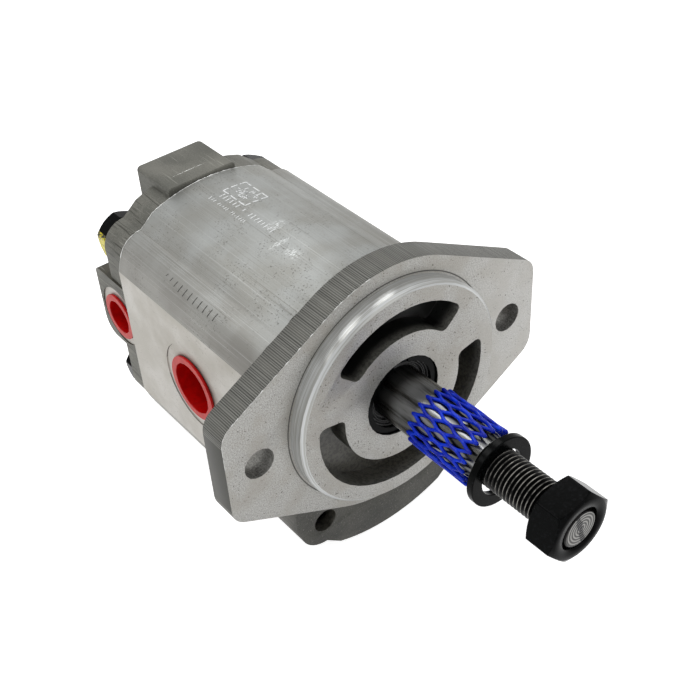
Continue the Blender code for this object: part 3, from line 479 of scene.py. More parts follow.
# %% Oily pocket
def oily_cast():
    """Nearly black cast pocket wet with oil: glossy, with darker patches, and painted light and shade:
    paler towards the bottom and the mouth, darker high up and deep in.
    """
    skin = Finish("oily_cast", tone(22, 22, 20), 0.3, 0.2)
    fine = skin.noise(0.9, 3.0, 0.6)
    # Painted light and shade: darker towards the top (Z 12) and deeper in, paler towards the bottom (Z -22)
    # and at the mouth (Y -6.3).
    low = skin.step(skin.axis("Z"), 12.0, -22.0)
    shade_by_height = skin.mix(low, tone(15, 15, 14), tone(88, 86, 78))
    mouth = skin.step(skin.axis("Y"), -1.5, -6.3)
    wall = skin.mix(mouth, shade_by_height, tone(112, 111, 105))
    skin.colour(skin.mix(skin.times(skin.step(fine, 0.42, 0.62), 0.5), wall, tone(12, 12, 11)))
    skin.roughness(fine, 0.2, 0.44)
    skin.bump(fine, 0.04)
    return skin.material


FACED = faced_aluminium()
TURNED = turned_aluminium()
RIM = sawn_rim()
EXTRUDED = extruded_aluminium()
MILLED = milled_flat()
COVER = cast_aluminium("cast_cover", tone(90, 90, 84), tone(116, 115, 108), 0.04, 0.7)
# A darker copy of the cast cover, which is painted shade for the pad's left wall and the boss's top.
COVER_PAINTED_SHADE = cast_aluminium("cast_cover_painted_shade", tone(62, 60, 52), tone(84, 81, 71), 0.05)
LOBE = cast_aluminium("raw_cast_lobe", tone(62, 62, 58), tone(86, 85, 80), 0.12)
OILY = oily_cast()
DRILLED = cast_aluminium("drilled_aluminium", tone(78, 77, 73), tone(150, 149, 145), 0.02)
ALUMINIUM = (FACED, TURNED, RIM, EXTRUDED, MILLED, COVER, COVER_PAINTED_SHADE, LOBE, OILY, DRILLED)
print("aluminium skins:", len(ALUMINIUM))

# %% [markdown]
# ## Steel, plastic and rubber
# The small parts each have one clear character: ground steel mirrors, black oxide drinks
# the light and shines only on its edges, moulded red plastic glows, and the net is a
# saturated blue that is almost flat.


# %% Steels
def ground_steel():
    """Polished steel with hair lines round the axis and a smoky stain."""
    skin = Finish("ground_steel", tone(150, 149, 146), 0.3, 1.0)
    stain = skin.noise(1.0, 4.0, 0.6, skin.place((0.22, 0.02, 0.22)))
    plain_tone = skin.mix(skin.step(stain, 0.42, 0.58), tone(62, 62, 59), tone(132, 133, 134))
    oiled = skin.step(skin.axis("Y"), -15.0, -8.0)
    skin.colour(skin.mix(skin.times(oiled, 0.7), plain_tone, tone(44, 42, 38)))
    skin.roughness(stain, 0.2, 0.36)
    skin.brushed_round(0.6)
    skin.bump(skin.noise(1.0, 3.0, 0.6, skin.place((0.1, 2.0, 0.1))), 0.006)
    return skin.material


def black_oxide():
    """Blackened steel: near black, satin, with a faint grain."""
    skin = Finish("black_oxide", tone(14, 15, 16), 0.22, 0.0)
    grain = skin.noise(0.9, 4.0, 0.6)
    skin.colour(skin.mix(skin.step(grain, 0.5, 0.75), tone(4, 5, 5), tone(22, 23, 25)))
    skin.shader.inputs["Specular IOR Level"].default_value = 0.035
    skin.roughness(grain, 0.12, 0.3)
    skin.bump(grain, 0.015)
    return skin.material


def rubbed_thread(root, crest):
    """Blackened thread whose crests are rubbed to bare steel, by distance from the axis."""
    skin = Finish("rubbed_thread", tone(27, 28, 30), 0.3, 0.8)
    height = skin.step(skin.away((0, 0, 0), (1, 0, 1)), root, crest)
    worn = skin.times(height, skin.step(skin.noise(0.5, 3.0), 0.25, 0.7))
    skin.colour(skin.mix(worn, tone(6, 6, 6), tone(176, 173, 166)))
    skin.put(0.2, skin.shader.inputs["Metallic"])
    skin.shader.inputs["Specular IOR Level"].default_value = 0.12
    return skin.material


def lathe_end():
    """Grey stud end with spiral lathe marks."""
    skin = Finish("lathe_end", tone(138, 138, 135), 0.34, 0.9)
    rings = skin.maths("SINE", skin.times(skin.away((0.4, 0, 0.2), (1, 0, 1)), 6.0))
    ragged = skin.times(skin.maths("SUBTRACT", skin.noise(0.5, 4.0, 0.6), 0.5), 3.0)
    off_line = skin.maths("SUBTRACT", skin.axis("X"), skin.times(skin.axis("Z"), -0.25))
    off_gash = skin.maths("ABSOLUTE", skin.maths("ADD", off_line, ragged))
    grey = skin.mix(skin.step(rings, -0.6, 0.9), tone(40, 40, 38), tone(128, 127, 124))
    skin.colour(skin.mix(skin.step(off_gash, 1.1, 0.7), grey, tone(2, 2, 2)))
    skin.bump(rings, 0.03)
    return skin.material


# %% Plastics, rubber and paint
def moulded_plastic(name, dark, light, roughness, glow):
    """Moulded plastic: a clear colour, slight mottling and a little light inside it."""
    skin = Finish(name, light, roughness, 0.0)
    mottle = skin.noise(0.35, 3.0)
    skin.colour(skin.mix(skin.step(mottle, 0.35, 0.7), dark, light))
    skin.shader.inputs["Subsurface Weight"].default_value = glow
    skin.shader.inputs["Subsurface Scale"].default_value = 0.0012
    skin.shader.inputs["Subsurface Radius"].default_value = (1.0, 0.25, 0.15)
    skin.bump(skin.noise(1.2, 3.0), 0.01)
    return skin.material


def rubber():
    """Black rubber, satin where oil has wetted it."""
    skin = Finish("black_rubber", tone(16, 16, 17), 0.3, 0.0)
    wet = skin.noise(0.5, 3.0)
    skin.colour(skin.mix(skin.step(wet, 0.4, 0.65), tone(7, 7, 8), tone(18, 18, 19)))
    skin.shader.inputs["Specular IOR Level"].default_value = 0.3
    skin.roughness(wet, 0.16, 0.4)
    return skin.material


def painted_oxide():
    """Blackened steel with a dab of yellow paint that has run and chipped."""
    skin = Finish("painted_oxide", tone(27, 28, 30), 0.4, 0.2)
    chips = skin.noise(0.55, 4.0, 0.65)
    paint = skin.mix(skin.step(skin.noise(1.2), 0.35, 0.7), tone(196, 178, 8), tone(232, 222, 40))
    skin.colour(skin.mix(skin.step(chips, 0.42, 0.47), tone(30, 31, 18), paint))
    skin.bump(skin.step(chips, 0.42, 0.47), 0.08)
    return skin.material


STEEL = ground_steel()
OXIDE = black_oxide()
THREAD = rubbed_thread(6.93, 7.0)
STUD = lathe_end()
RED = moulded_plastic("red_plastic", tone(182, 4, 3), tone(208, 7, 5), 0.34, 0.1)
# A paler copy of the red plastic, which is painted light for the caps' rim faces.
RED_PAINTED_LIGHT = moulded_plastic("red_plastic_painted_light", tone(196, 30, 24), tone(212, 50, 40), 0.42, 0.1)
BLUE = moulded_plastic("blue_plastic", tone(2, 30, 176), tone(4, 62, 236), 0.3, 0.0)
for plastic in (RED, RED_PAINTED_LIGHT, BLUE):
    plastic.node_tree.nodes["Principled BSDF"].inputs["Specular IOR Level"].default_value = 0.22
RUBBER = rubber()
PAINTED = painted_oxide()
print("small part finishes:", 9)

# %% [markdown]
# ## Castings with worked edges
# The CAD solids already have the right walls, bores and pockets, but their edges are
# knife sharp and their faces are loose triangles. A copy is welded, its coplanar
# triangles are dissolved and a narrow bevel rounds every edge, so that edges catch a
# line of light. Each face then takes the skin of the surface that it belongs to, chosen
# from its place and the way it faces.


# %% Welded copy with rounded edges
def smoothed(data):
    """Shades every face of a mesh smoothly."""
    data.polygons.foreach_set("use_smooth", np.ones(len(data.polygons), bool))
    return data


def add_piece(name, data, body, nodes=()):
    """Links a finished mesh as a piece that rides on a body and may stand for CAD nodes."""
    data.name = name
    obj = bpy.data.objects.new(name, data)
    bpy.context.scene.collection.objects.link(obj)
    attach(obj, body)
    if nodes:
        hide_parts(*nodes)
    return obj


def skin_by(data, skins, choose):
    """Gives each face one of several skins, from its centre in millimetres and its normal."""
    for skin in skins:
        data.materials.append(skin)
    count = len(data.polygons)
    centres = np.zeros(count * 3)
    normals = np.zeros(count * 3)
    data.polygons.foreach_get("center", centres)
    data.polygons.foreach_get("normal", normals)
    picked = choose(centres.reshape(-1, 3) / MM, normals.reshape(-1, 3))
    data.polygons.foreach_set("material_index", picked.astype(np.int32))


def worked_casting(name, node, edge, skins, choose, data=None):
    """A node's welded copy, or a mesh that stands for it, with bevelled edges.

    choose(centres, normals) picks each face's skin."""
    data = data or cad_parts[node].data.copy()
    shape = bmesh.new()
    shape.from_mesh(data)
    bmesh.ops.remove_doubles(shape, verts=shape.verts, dist=1e-6)
    bmesh.ops.dissolve_limit(shape, angle_limit=math.radians(0.4), verts=shape.verts, edges=shape.edges)
    shape.to_mesh(data)
    shape.free()
    data.materials.clear()
    skin_by(smoothed(data), skins, choose)
    obj = add_piece(name, data, "housing", (node,))
    bevel = obj.modifiers.new("worked edge", "BEVEL")
    bevel.width = edge * MM
    bevel.segments = 2
    bevel.limit_method = "ANGLE"
    bevel.angle_limit = math.radians(32)
    bevel.use_clamp_overlap = True
    bevel.harden_normals = True
    print(name, "faces:", len(data.polygons))
    return obj


# %% Front cover
PILOT_R = 41.275
CENTRES = 32.0
MIDDLE_Z = -CENTRES / 2
BOLT_X = 28.9
BOLT_Z = 30.4
FLANGE_THICKNESS = 10.0
LOBE_FRONT = 3.0
HOLE_X = 53.2


def front_cover_skins(centres, normals):
    """0 faced, 1 turned wall, 2 sawn rim, 3 raw lobe, 4 oily pockets, 5 drawn skin, 6 drilled."""
    x, y, z = centres.T
    reach = np.hypot(x, z)
    side = np.abs(normals[:, 1]) < 0.9
    faces_front = normals[:, 1] < -0.9
    picked = np.full(len(x), 3)
    picked[faces_front & (y < 0.1)] = 0
    picked[faces_front & (y > 0.1) & (y < LOBE_FRONT - 0.1)] = 4
    picked[side & (y > 0) & (y < FLANGE_THICKNESS * 0.75) & (reach > PILOT_R)] = 2
    picked[side & (y > FLANGE_THICKNESS) & (z > -20.0) & (reach > 20.0)] = 5
    picked[side & (y < 0.01) & (reach > 38.0)] = 1
    picked[side & (reach < 36.0)] = 4
    picked[side & (np.hypot(np.abs(x) - HOLE_X, z) < 5.8)] = 6
    picked[side & (np.hypot(np.abs(x) - BOLT_X, z - MIDDLE_Z + BOLT_Z) < 6.0)] = 4
    return picked


# %% Distance round the flange
FLANGE_R = 47.4
FLANGE_SLOPE = math.radians(61.5)
FLANGE_HALF = 65.4
FLANGE_CORNER = 8.0


def arc_points(centre, radius, start, end, steps):
    """Points on an arc from a start angle to an end angle, in the X and Z plane."""
    angle = np.linspace(start, end, steps)
    return np.column_stack([centre[0] + radius * np.cos(angle), centre[1] + radius * np.sin(angle)])


def flange_quadrant():
    """Blunt end corner, then the round middle; the straight side lies between them."""
    corner_x = FLANGE_HALF - FLANGE_CORNER
    corner_z = (FLANGE_R - FLANGE_CORNER - corner_x * math.cos(FLANGE_SLOPE)) / math.sin(FLANGE_SLOPE)
    corner = arc_points((corner_x, corner_z), FLANGE_CORNER, 0, FLANGE_SLOPE, 12)
    middle = arc_points((0, 0), FLANGE_R, FLANGE_SLOPE, math.pi / 2, 24)
    return np.vstack([[(FLANGE_HALF, 0)], corner, middle])


def run_along(points, outline):
    """For each point of the X and Z plane, the distance along the outline to its nearest spot."""
    start, step = outline[:-1], np.diff(outline, axis=0)
    length = np.linalg.norm(step, axis=1)
    from_start = points[:, None] - start[None]
    share = np.clip((from_start * step).sum(2) / length ** 2, 0, 1)
    miss = np.linalg.norm(from_start - share[..., None] * step, axis=2)
    best = miss.argmin(1)
    before = np.concatenate([[0], np.cumsum(length)])
    return before[best] + share[np.arange(len(points)), best] * length[best]


casting = worked_casting("front_cover_casting", "front_cover", 0.3,
                         (FACED, TURNED, RIM, LOBE, OILY, EXTRUDED, DRILLED), front_cover_skins)
quarter = flange_quadrant()
full_quarter = np.linalg.norm(np.diff(quarter, axis=0), axis=1).sum()
corners = np.zeros(len(casting.data.vertices) * 3)
casting.data.vertices.foreach_get("co", corners)
corners = corners.reshape(-1, 3)[:, ::2] / MM
quarter_run = run_along(np.abs(corners), quarter)
rim_run = np.where(corners[:, 0] > 0, 2 * full_quarter - quarter_run, quarter_run)
kept_run = casting.data.attributes.new("round_the_rim", "FLOAT", "POINT")
kept_run.data.foreach_set("value", rim_run.astype(np.float32))
print("half of the rim in mm:", round(2 * full_quarter, 1))

# %% Motor body
FLAT_X = 40.6


def body_skins(centres, normals):
    """0 extruded outside, 1 milled flats and ports, 2 oily inside."""
    x, y, z = centres.T
    picked = np.zeros(len(x), int)
    picked[(np.abs(normals[:, 0]) > 0.99) & (np.abs(x) > 39.0)] = 1
    picked[np.abs(normals[:, 1]) > 0.99] = 1
    inside = (np.abs(x) < 39.9) & (np.hypot(y - 60.2, z + 16.0) < 17.5)
    picked[inside] = 2
    return picked


worked_casting("body_extrusion", "motor_body", 0.25,
               (EXTRUDED, MILLED, OILY), body_skins)

# %% [markdown]
# The rear cover is drawn anew, ring by ring. A plate with the body's own section carries
# a boss for the drain port and, in its middle, a pad that stands back as far as the boss
# does and rises just above the crown. Flat faces with holes are filled between rings.

# %% Section of the body and the cover
LOBE_R = 10.3
CROWN_R = 62.5
CROWN_TOP = 49.9
CROWN_HALF = 23.1
FLAT_HALF = 28.2


def section_quadrant(flat_x, inset=0.0):
    """Port flat's corner, the bolt's lobe, then the crown, about the middle between the gears."""
    reach = LOBE_R - inset
    across = flat_x - BOLT_X
    below = BOLT_Z - FLAT_HALF
    tangent = math.acos(min(1.0, reach / math.hypot(across, below))) - math.atan2(below, across)
    lobe = arc_points((BOLT_X, BOLT_Z), reach, tangent, math.pi / 2, 16)
    crown_end = math.acos(CROWN_HALF / CROWN_R)
    crown = arc_points((0, CROWN_TOP - CROWN_R), CROWN_R - inset, crown_end, math.pi / 2, 16)
    return np.vstack([[(flat_x, FLAT_HALF)], lobe, crown])


# %% Shells from rings
class Shell:
    """Gathers the rings of a closed casting and the faces that join them."""

    def __init__(self):
        self.points = []
        self.faces = []

    def ring(self, points):
        start = len(self.points)
        self.points += [tuple(point) for point in points]
        return list(range(start, len(self.points)))

    def wall(self, first, second):
        """Quads between two rings with as many points each."""
        for index in range(len(first)):
            after = (index + 1) % len(first)
            self.faces.append((first[index], first[after], second[after], second[index]))

    def flat(self, *rings):
        """Fills the face between an outer ring and the rings of its holes."""
        loops = [[Vector(self.points[index]) for index in ring] for ring in rings]
        order = [index for ring in rings for index in ring]
        self.faces += [tuple(order[corner] for corner in corners) for corners in tessellate_polygon(loops)]


def closed_mesh(name, points, faces):
    """A mesh from points in millimetres, with every face turned outwards."""
    data = bpy.data.meshes.new(name)
    data.from_pydata((np.array(points) * MM).tolist(), [], faces)
    shape = bmesh.new()
    shape.from_mesh(data)
    bmesh.ops.recalc_face_normals(shape, faces=shape.faces)
    shape.to_mesh(data)
    shape.free()
    return data


def circle(centre, radius, count=32):
    """Points round a circle in a plane."""
    return arc_points(centre, radius, 0, 2 * math.pi * (1 - 1 / count), count)


# %% Rear cover
PLATE_FRONT = 102.6
PLATE_REAR = 114.6
PLATE_HALF = 38.5
PLATE_INSET = 0.6
BOLT_HOLE_R = 5.4
DRAIN = (112.2, -14.8)
DRAIN_R = 7.9
DRAIN_DEPTH = 13.0
SPOT_R = 12.2
SPOT_DEPTH = 0.5
SPOT_LAND = 0.9
BOSS_LEFT, BOSS_RIGHT = -39.3, 14.0
BOSS_LOW, BOSS_TOP, BOSS_REAR = -28.5, 1.5, 125.9
PAD_LEFT, PAD_RIGHT = -15.3, 13.5
PAD_TOP = 35.0
PAD_REAR = 125.85
PAD_CORNER_R = 2.0
PAD_EDGE_R = 1.6
NOTCH_X = -25.0
OVERLAP = 0.1
BOSS_LOW_CORNER = 6.8
BOSS_TOP_CORNER = 2.2
PAD_FOOT = 1.2


def plate_outline():
    """A quadrant and its mirror images, with a notch on the left where the boss stands."""
    quadrant = section_quadrant(PLATE_HALF, PLATE_INSET)
    shift = [0, MIDDLE_Z]
    left_above = (quadrant * [-1, 1])[::-1][1:] + shift
    left_below = quadrant * [-1, -1] + shift
    right_below = (quadrant * [1, -1])[::-1][1:] + shift
    high, low = BOSS_TOP - OVERLAP, BOSS_LOW + OVERLAP
    notch = [(-PLATE_HALF, high), (NOTCH_X, high), (NOTCH_X, low), (-PLATE_HALF, low)]
    return np.vstack([quadrant + shift, left_above, notch, left_below, right_below])


def on_y(points, y):
    """Points of the X and Z plane at one Y."""
    return np.column_stack([points[:, 0], np.full(len(points), y), points[:, 1]])


def on_x(points, x):
    """Points of the Y and Z plane at one X."""
    return np.column_stack([np.full(len(points), x), points])


def plate_shell(shell):
    """The plate: the body's section a little smaller, with four bolt holes."""
    outline = plate_outline()
    holes = [circle((x, MIDDLE_Z + z), BOLT_HOLE_R) for x in (-BOLT_X, BOLT_X) for z in (-BOLT_Z, BOLT_Z)]
    ends = []
    for y in (PLATE_FRONT, PLATE_REAR):
        ends.append([shell.ring(on_y(ring, y)) for ring in (outline, *holes)])
        shell.flat(*ends[-1])
    for front_ring, rear_ring in zip(*ends):
        shell.wall(front_ring, rear_ring)


def boss_shell(shell):
    """The drain boss: well rounded below, with a spot face and the port from the left."""
    low_r, top_r, front = BOSS_LOW_CORNER, BOSS_TOP_CORNER, PLATE_FRONT + OVERLAP
    lower = arc_points((BOSS_REAR - low_r, BOSS_LOW + low_r), low_r, -math.pi / 2, 0, 8)
    upper = arc_points((BOSS_REAR - top_r, BOSS_TOP - top_r), top_r, 0, math.pi / 2, 5)
    outline = np.vstack([[(front, BOSS_LOW)], lower, upper, [(front, BOSS_TOP)]])
    spot = circle(DRAIN, SPOT_R, 48)
    spot[:, 0] = np.maximum(spot[:, 0], PLATE_FRONT + SPOT_LAND)
    bore = circle(DRAIN, DRAIN_R, 48)
    right = shell.ring(on_x(outline, BOSS_RIGHT))
    left = shell.ring(on_x(outline, BOSS_LEFT))
    mouth = shell.ring(on_x(spot, BOSS_LEFT))
    land = shell.ring(on_x(spot, BOSS_LEFT + SPOT_DEPTH))
    rim = shell.ring(on_x(bore, BOSS_LEFT + SPOT_DEPTH))
    end = shell.ring(on_x(bore, BOSS_LEFT + SPOT_DEPTH + DRAIN_DEPTH))
    shell.flat(right)
    shell.wall(right, left)
    shell.flat(left, mouth)
    shell.wall(mouth, land)
    shell.wall(land, rim)
    shell.wall(rim, end)
    shell.flat(end)


def pad_outline(inset):
    """The pad from above, drawn in by an inset that is smaller on its front side."""
    low, high, rear = PAD_LEFT + inset, PAD_RIGHT - inset, PAD_REAR - inset
    radius = PAD_CORNER_R - inset
    front = PLATE_FRONT + 0.05 + 0.4 * inset
    right = arc_points((high - radius, rear - radius), radius, 0, math.pi / 2, 7)
    left = arc_points((low + radius, rear - radius), radius, math.pi / 2, math.pi, 7)
    return np.vstack([[(high, front)], right, left, [(low, front)]])


def pad_shell(shell):
    """The pad: upright walls whose upper edge follows a quarter circle."""
    rings = [shell.ring(np.column_stack([pad_outline(0), np.full(16, BOSS_TOP - PAD_FOOT)]))]
    for turn in np.linspace(0, math.pi / 2, 6):
        inset = PAD_EDGE_R * (1 - math.cos(turn))
        height = PAD_TOP - PAD_EDGE_R * (1 - math.sin(turn))
        rings.append(shell.ring(np.column_stack([pad_outline(inset), np.full(16, height)])))
    for lower, upper in zip(rings[:-1], rings[1:]):
        shell.wall(lower, upper)
    shell.flat(rings[0])
    shell.flat(rings[-1])


def rear_cover_skins(centres, normals):
    """0 cast cover, 1 milled spot face, 2 oily port, 3 painted shade, a darker copy of the cast skin."""
    x, y, z = centres.T
    picked = np.zeros(len(x), int)
    # Painted shade: the pad's left wall and the boss's top take the darker copy of the cast skin.
    picked[(normals[:, 0] < -0.7) & (x > PAD_LEFT - 0.2) & (y > PLATE_REAR)] = 3
    picked[(normals[:, 2] > 0.9) & (z < BOSS_TOP + 0.2)] = 3
    picked[(normals[:, 0] < -0.9) & (np.abs(x - BOSS_LEFT - SPOT_DEPTH) < 0.1)] = 1
    picked[(x > -38.5) & (np.hypot(y - DRAIN[0], z - DRAIN[1]) < DRAIN_R + 0.2)] = 2
    return picked


cover_shell = Shell()
plate_shell(cover_shell)
boss_shell(cover_shell)
pad_shell(cover_shell)
cover_data = closed_mesh("rear_cover_casting", cover_shell.points, cover_shell.faces)
worked_casting("rear_cover_casting", "rear_cover", 0.35,
               (COVER, MILLED, OILY, COVER_PAINTED_SHADE), rear_cover_skins, cover_data)

# %% [markdown]
# ## Turned and hexagonal parts
# A turned part is a profile carried round an axis, and a hexagonal head is the same grid
# with a radius that also depends on the angle. Working the whole grid out as one numpy
# array keeps the formula in sight. Corners of a profile are eased with short curves.


# %% Grid surfaces
def eased(profile, corner, steps=3):
    """Replaces each inner corner of a profile by a quadratic curve.

    Between P0 and P2, a corner length before and after the corner P1, the point at t is
    (1 - t)^2 P0 + 2 t (1 - t) P1 + t^2 P2.
    """
    profile = np.array(profile, float)
    before = profile[:-2] - profile[1:-1]
    after = profile[2:] - profile[1:-1]
    near = np.linalg.norm(before, axis=1, keepdims=True)
    far = np.linalg.norm(after, axis=1, keepdims=True)
    reach = np.minimum(corner, np.minimum(near, far) * 0.45)
    start = profile[1:-1] + before / near * reach
    end = profile[1:-1] + after / far * reach
    t = np.linspace(0, 1, steps + 1)[None, :, None]
    curve = (1 - t) ** 2 * start[:, None] + 2 * t * (1 - t) * profile[1:-1][:, None] + t ** 2 * end[:, None]
    return np.vstack([profile[:1], curve.reshape(-1, 2), profile[-1:]])


def grid_faces(rows, columns, close_rows=False):
    """Quads between neighbouring rows and columns of a grid that wraps round its columns."""
    row = np.arange(rows if close_rows else rows - 1)[:, None]
    column = np.arange(columns)[None, :]
    next_row = (row + 1) % rows
    next_column = (column + 1) % columns
    quads = np.stack([row * columns + column, next_row * columns + column,
                      next_row * columns + next_column, row * columns + next_column], axis=-1)
    return quads.reshape(-1, 4)


def grid_data(name, points, close_rows=False):
    """A mesh from points of shape (rows, columns, 3) in millimetres, facing outwards."""
    rows, columns = points.shape[:2]
    faces = grid_faces(rows, columns, close_rows)
    flat = points.reshape(-1, 3)
    corner = flat[faces]
    volume = np.einsum("ij,ij->i", corner[:, 0], np.cross(corner[:, 1], corner[:, 2])
                       + np.cross(corner[:, 2], corner[:, 3])).sum()
    if volume < 0:
        faces = faces[:, ::-1]
    data = bpy.data.meshes.new(name)
    data.from_pydata((flat * MM).tolist(), [], faces.tolist())
    shape = bmesh.new()
    shape.from_mesh(data)
    bmesh.ops.remove_doubles(shape, verts=shape.verts, dist=1e-7)
    shape.to_mesh(data)
    shape.free()
    return smoothed(data)


def revolved(profile, columns=96, centre=(0, 0, 0), axis="Y", radius_at=None):
    """Points (radius cos a, place along the axis, radius sin a) about an axis through a centre.

    Profile rows are (radius, place). radius_at(radius, place, angle) may reshape the radius.
    """
    profile = np.array(profile, float)
    angle = np.linspace(0, 2 * np.pi, columns, endpoint=False)[None, :]
    radius = profile[:, :1] + 0 * angle
    place = profile[:, 1:] + 0 * angle
    if radius_at is not None:
        radius = radius_at(radius, place, angle)
    first = np.cos(angle) * radius
    second = np.sin(angle) * radius
    if axis == "Y":
        points = np.stack([first, place, second], axis=-1)
    else:
        points = np.stack([place, first, second], axis=-1)
    return points + np.array(centre, float)


def even_normals(obj):
    """Weighs normals by face area, so that flats stay flat beside eased corners."""
    weigh = obj.modifiers.new("even normals", "WEIGHTED_NORMAL")
    weigh.keep_sharp = True
    weigh.weight = 60
    return obj


# %% [markdown]
# ### Drive shaft
# The journal is ground steel, the taper narrows by one part in eight of its length on
# the diameter, and the thread has a pitch of 1.5 mm. A thread is a radius that follows a
# triangle wave of the place along the axis less the pitch times the angle's turn, so the
# ridge climbs as a real helix and is not a stack of rings.

# %% Shaft, gear and thread
SHAFT_R = 9.525
CYLINDER_END = -20.0
TAPER_END = -46.5
TAPER_RATE = 1 / 16
NECK_R = 6.1
THREAD_START = -48.5
THREAD_R = 7.0
PITCH = 1.5
THREAD_DEPTH = 0.85
SHAFT_TIP = -83.0
shaft_low, shaft_high = box_in_mm("drive_shaft")
REAR_END = float(shaft_high[1])
TEETH = 12
idler_low, idler_high = box_in_mm("idler_gear")
JOURNAL = 17.6
GEAR_FRONT, GEAR_REAR = float(idler_low[1]) + JOURNAL, float(idler_high[1]) - JOURNAL
GEAR_TIP_R = 18.53
GEAR_ROOT_R = 12.8


def thread_wave(place, angle):
    """0 at the root and 1 at the crest: a triangle wave along the helix, flat on both."""
    turns = (place / PITCH - angle / (2 * np.pi)) % 1.0
    return np.clip((1 - np.abs(2 * turns - 1)) * 1.35 - 0.12, 0, 1)


def thread_radius(radius, place, angle):
    """Cuts the thread into the stud, and lets it run out at the end's chamfer."""
    on_thread = (place > SHAFT_TIP + 0.3) & (place < THREAD_START - 0.2)
    depth = THREAD_DEPTH * (1 - thread_wave(place, angle))
    return np.where(on_thread & (radius > NECK_R), np.maximum(radius - depth, NECK_R), radius)


def gear_radius(radius, place, angle):
    """Teeth between the gear's faces: a smooth tooth wave between root and tip circles."""
    beat = np.abs(((angle * TEETH / (2 * np.pi)) % 1.0) - 0.5) * 2
    tooth = np.clip((beat - 0.30) / 0.34, 0, 1)
    toothed = GEAR_ROOT_R + (GEAR_TIP_R - GEAR_ROOT_R) * tooth
    return np.where(radius > SHAFT_R + 1, toothed, radius)


taper_small = SHAFT_R - (CYLINDER_END - TAPER_END) * TAPER_RATE
body_profile = eased([(0.0, REAR_END), (SHAFT_R, REAR_END), (SHAFT_R, GEAR_REAR)], 0.8).tolist()
body_profile += [(GEAR_TIP_R, GEAR_REAR), (GEAR_TIP_R, GEAR_FRONT)]
neck_end = THREAD_START + 0.4
front_end = [(SHAFT_R, GEAR_FRONT), (SHAFT_R, CYLINDER_END), (taper_small, TAPER_END),
             (NECK_R, TAPER_END), (NECK_R, neck_end), (0.0, neck_end)]
body_profile += eased(front_end, 0.3).tolist()
shaft_points = revolved(body_profile, 288, radius_at=gear_radius)
shaft_data = grid_data("drive_shaft_steel", shaft_points)
shaft_data.materials.append(STEEL)
even_normals(add_piece("drive_shaft_steel", shaft_data, "shaft", ("drive_shaft",)))

thread_rows = np.arange(THREAD_START, SHAFT_TIP + 1.2, -PITCH / 12)
thread_profile = [(0.0, THREAD_START + 0.6), (NECK_R, THREAD_START + 0.6)]
thread_profile += [(THREAD_R - 0.7, THREAD_START + 0.05)]
thread_profile += [(THREAD_R, row) for row in thread_rows]
thread_profile += [(THREAD_R - 0.3, SHAFT_TIP + 0.5), (THREAD_R - 0.9, SHAFT_TIP + 0.05)]
thread_profile += [(THREAD_R - 1.1, SHAFT_TIP)]
thread_profile += [(radius, SHAFT_TIP) for radius in np.linspace(THREAD_R - 1.8, 0, 8)]
thread_points = revolved(thread_profile, 72, radius_at=thread_radius)
thread_data = grid_data("shaft_thread", thread_points)


def at_tip(centres, normals):
    """1 on the stud's flat end, 0 on the thread."""
    return (centres[:, 1] < SHAFT_TIP + 0.02).astype(int)


skin_by(thread_data, (THREAD, STUD), at_tip)
add_piece("shaft_thread", thread_data, "shaft")
print("thread turns:", round((THREAD_START - SHAFT_TIP) / PITCH, 1))


# %% [markdown]
# ### Nut, washer and bolt heads
# A real hexagon's corners are cut by a cone, which leaves a curved line on each flat.
# The radius at an angle is the smaller of the hexagon's own radius and the cone's, and
# the curved line appears by itself.

# %% Hexagons cut by a cone
def hexagon_radius(flats, turn, cone):
    """Returns radius_at: the smaller of half the flats over the cosine to the nearest
    flat's middle, and the profile's own radius, which holds the chamfer cone."""
    def radius_at(radius, place, angle):
        to_flat = (angle - turn + np.pi / 6) % (np.pi / 3) - np.pi / 6
        across = flats / 2 / np.cos(to_flat)
        return np.where(radius > cone, np.minimum(radius, across), radius)
    return radius_at


def chamfered(corner, face, height_from, height_to):
    """Profile of a blank from one end to the other: cone, side, cone."""
    spread = corner - face
    fall = spread * math.tan(math.radians(30)) * np.sign(height_to - height_from)
    rows = [(face, height_from)]
    rows += [(face + spread * t, height_from + fall * t) for t in np.linspace(0.12, 1, 8)]
    rows += [(corner, height) for height in np.linspace(height_from + fall, height_to - fall, 14)[1:-1]]
    rows += [(corner - spread * t, height_to - fall * (1 - t)) for t in np.linspace(0, 0.88, 8)]
    rows += [(face, height_to)]
    return rows


NUT_FLATS = 22.0
NUT_TURN = math.radians(12)
NUT_FRONT = -83.2
NUT_REAR = -72.2
NUT_BORE = 7.15
nut_face = NUT_FLATS * 0.475
nut_blank = chamfered(NUT_FLATS / math.sqrt(3) + 0.02, nut_face, NUT_REAR, NUT_FRONT)
NUT_CHAMFER = 0.7
nut_bore = [(NUT_BORE + NUT_CHAMFER, NUT_FRONT), (NUT_BORE, NUT_FRONT + NUT_CHAMFER),
            (NUT_BORE, NUT_REAR - NUT_CHAMFER), (NUT_BORE + NUT_CHAMFER, NUT_REAR)]
nut_sides = hexagon_radius(NUT_FLATS, NUT_TURN + math.pi / 6, nut_face - 0.2)
nut_points = revolved(nut_blank + nut_bore, 288, radius_at=nut_sides)
nut_data = grid_data("shaft_nut_blackened", nut_points, close_rows=True)
nut_data.materials.append(OXIDE)
add_piece("shaft_nut_blackened", nut_data, "nut", ("shaft_nut",))

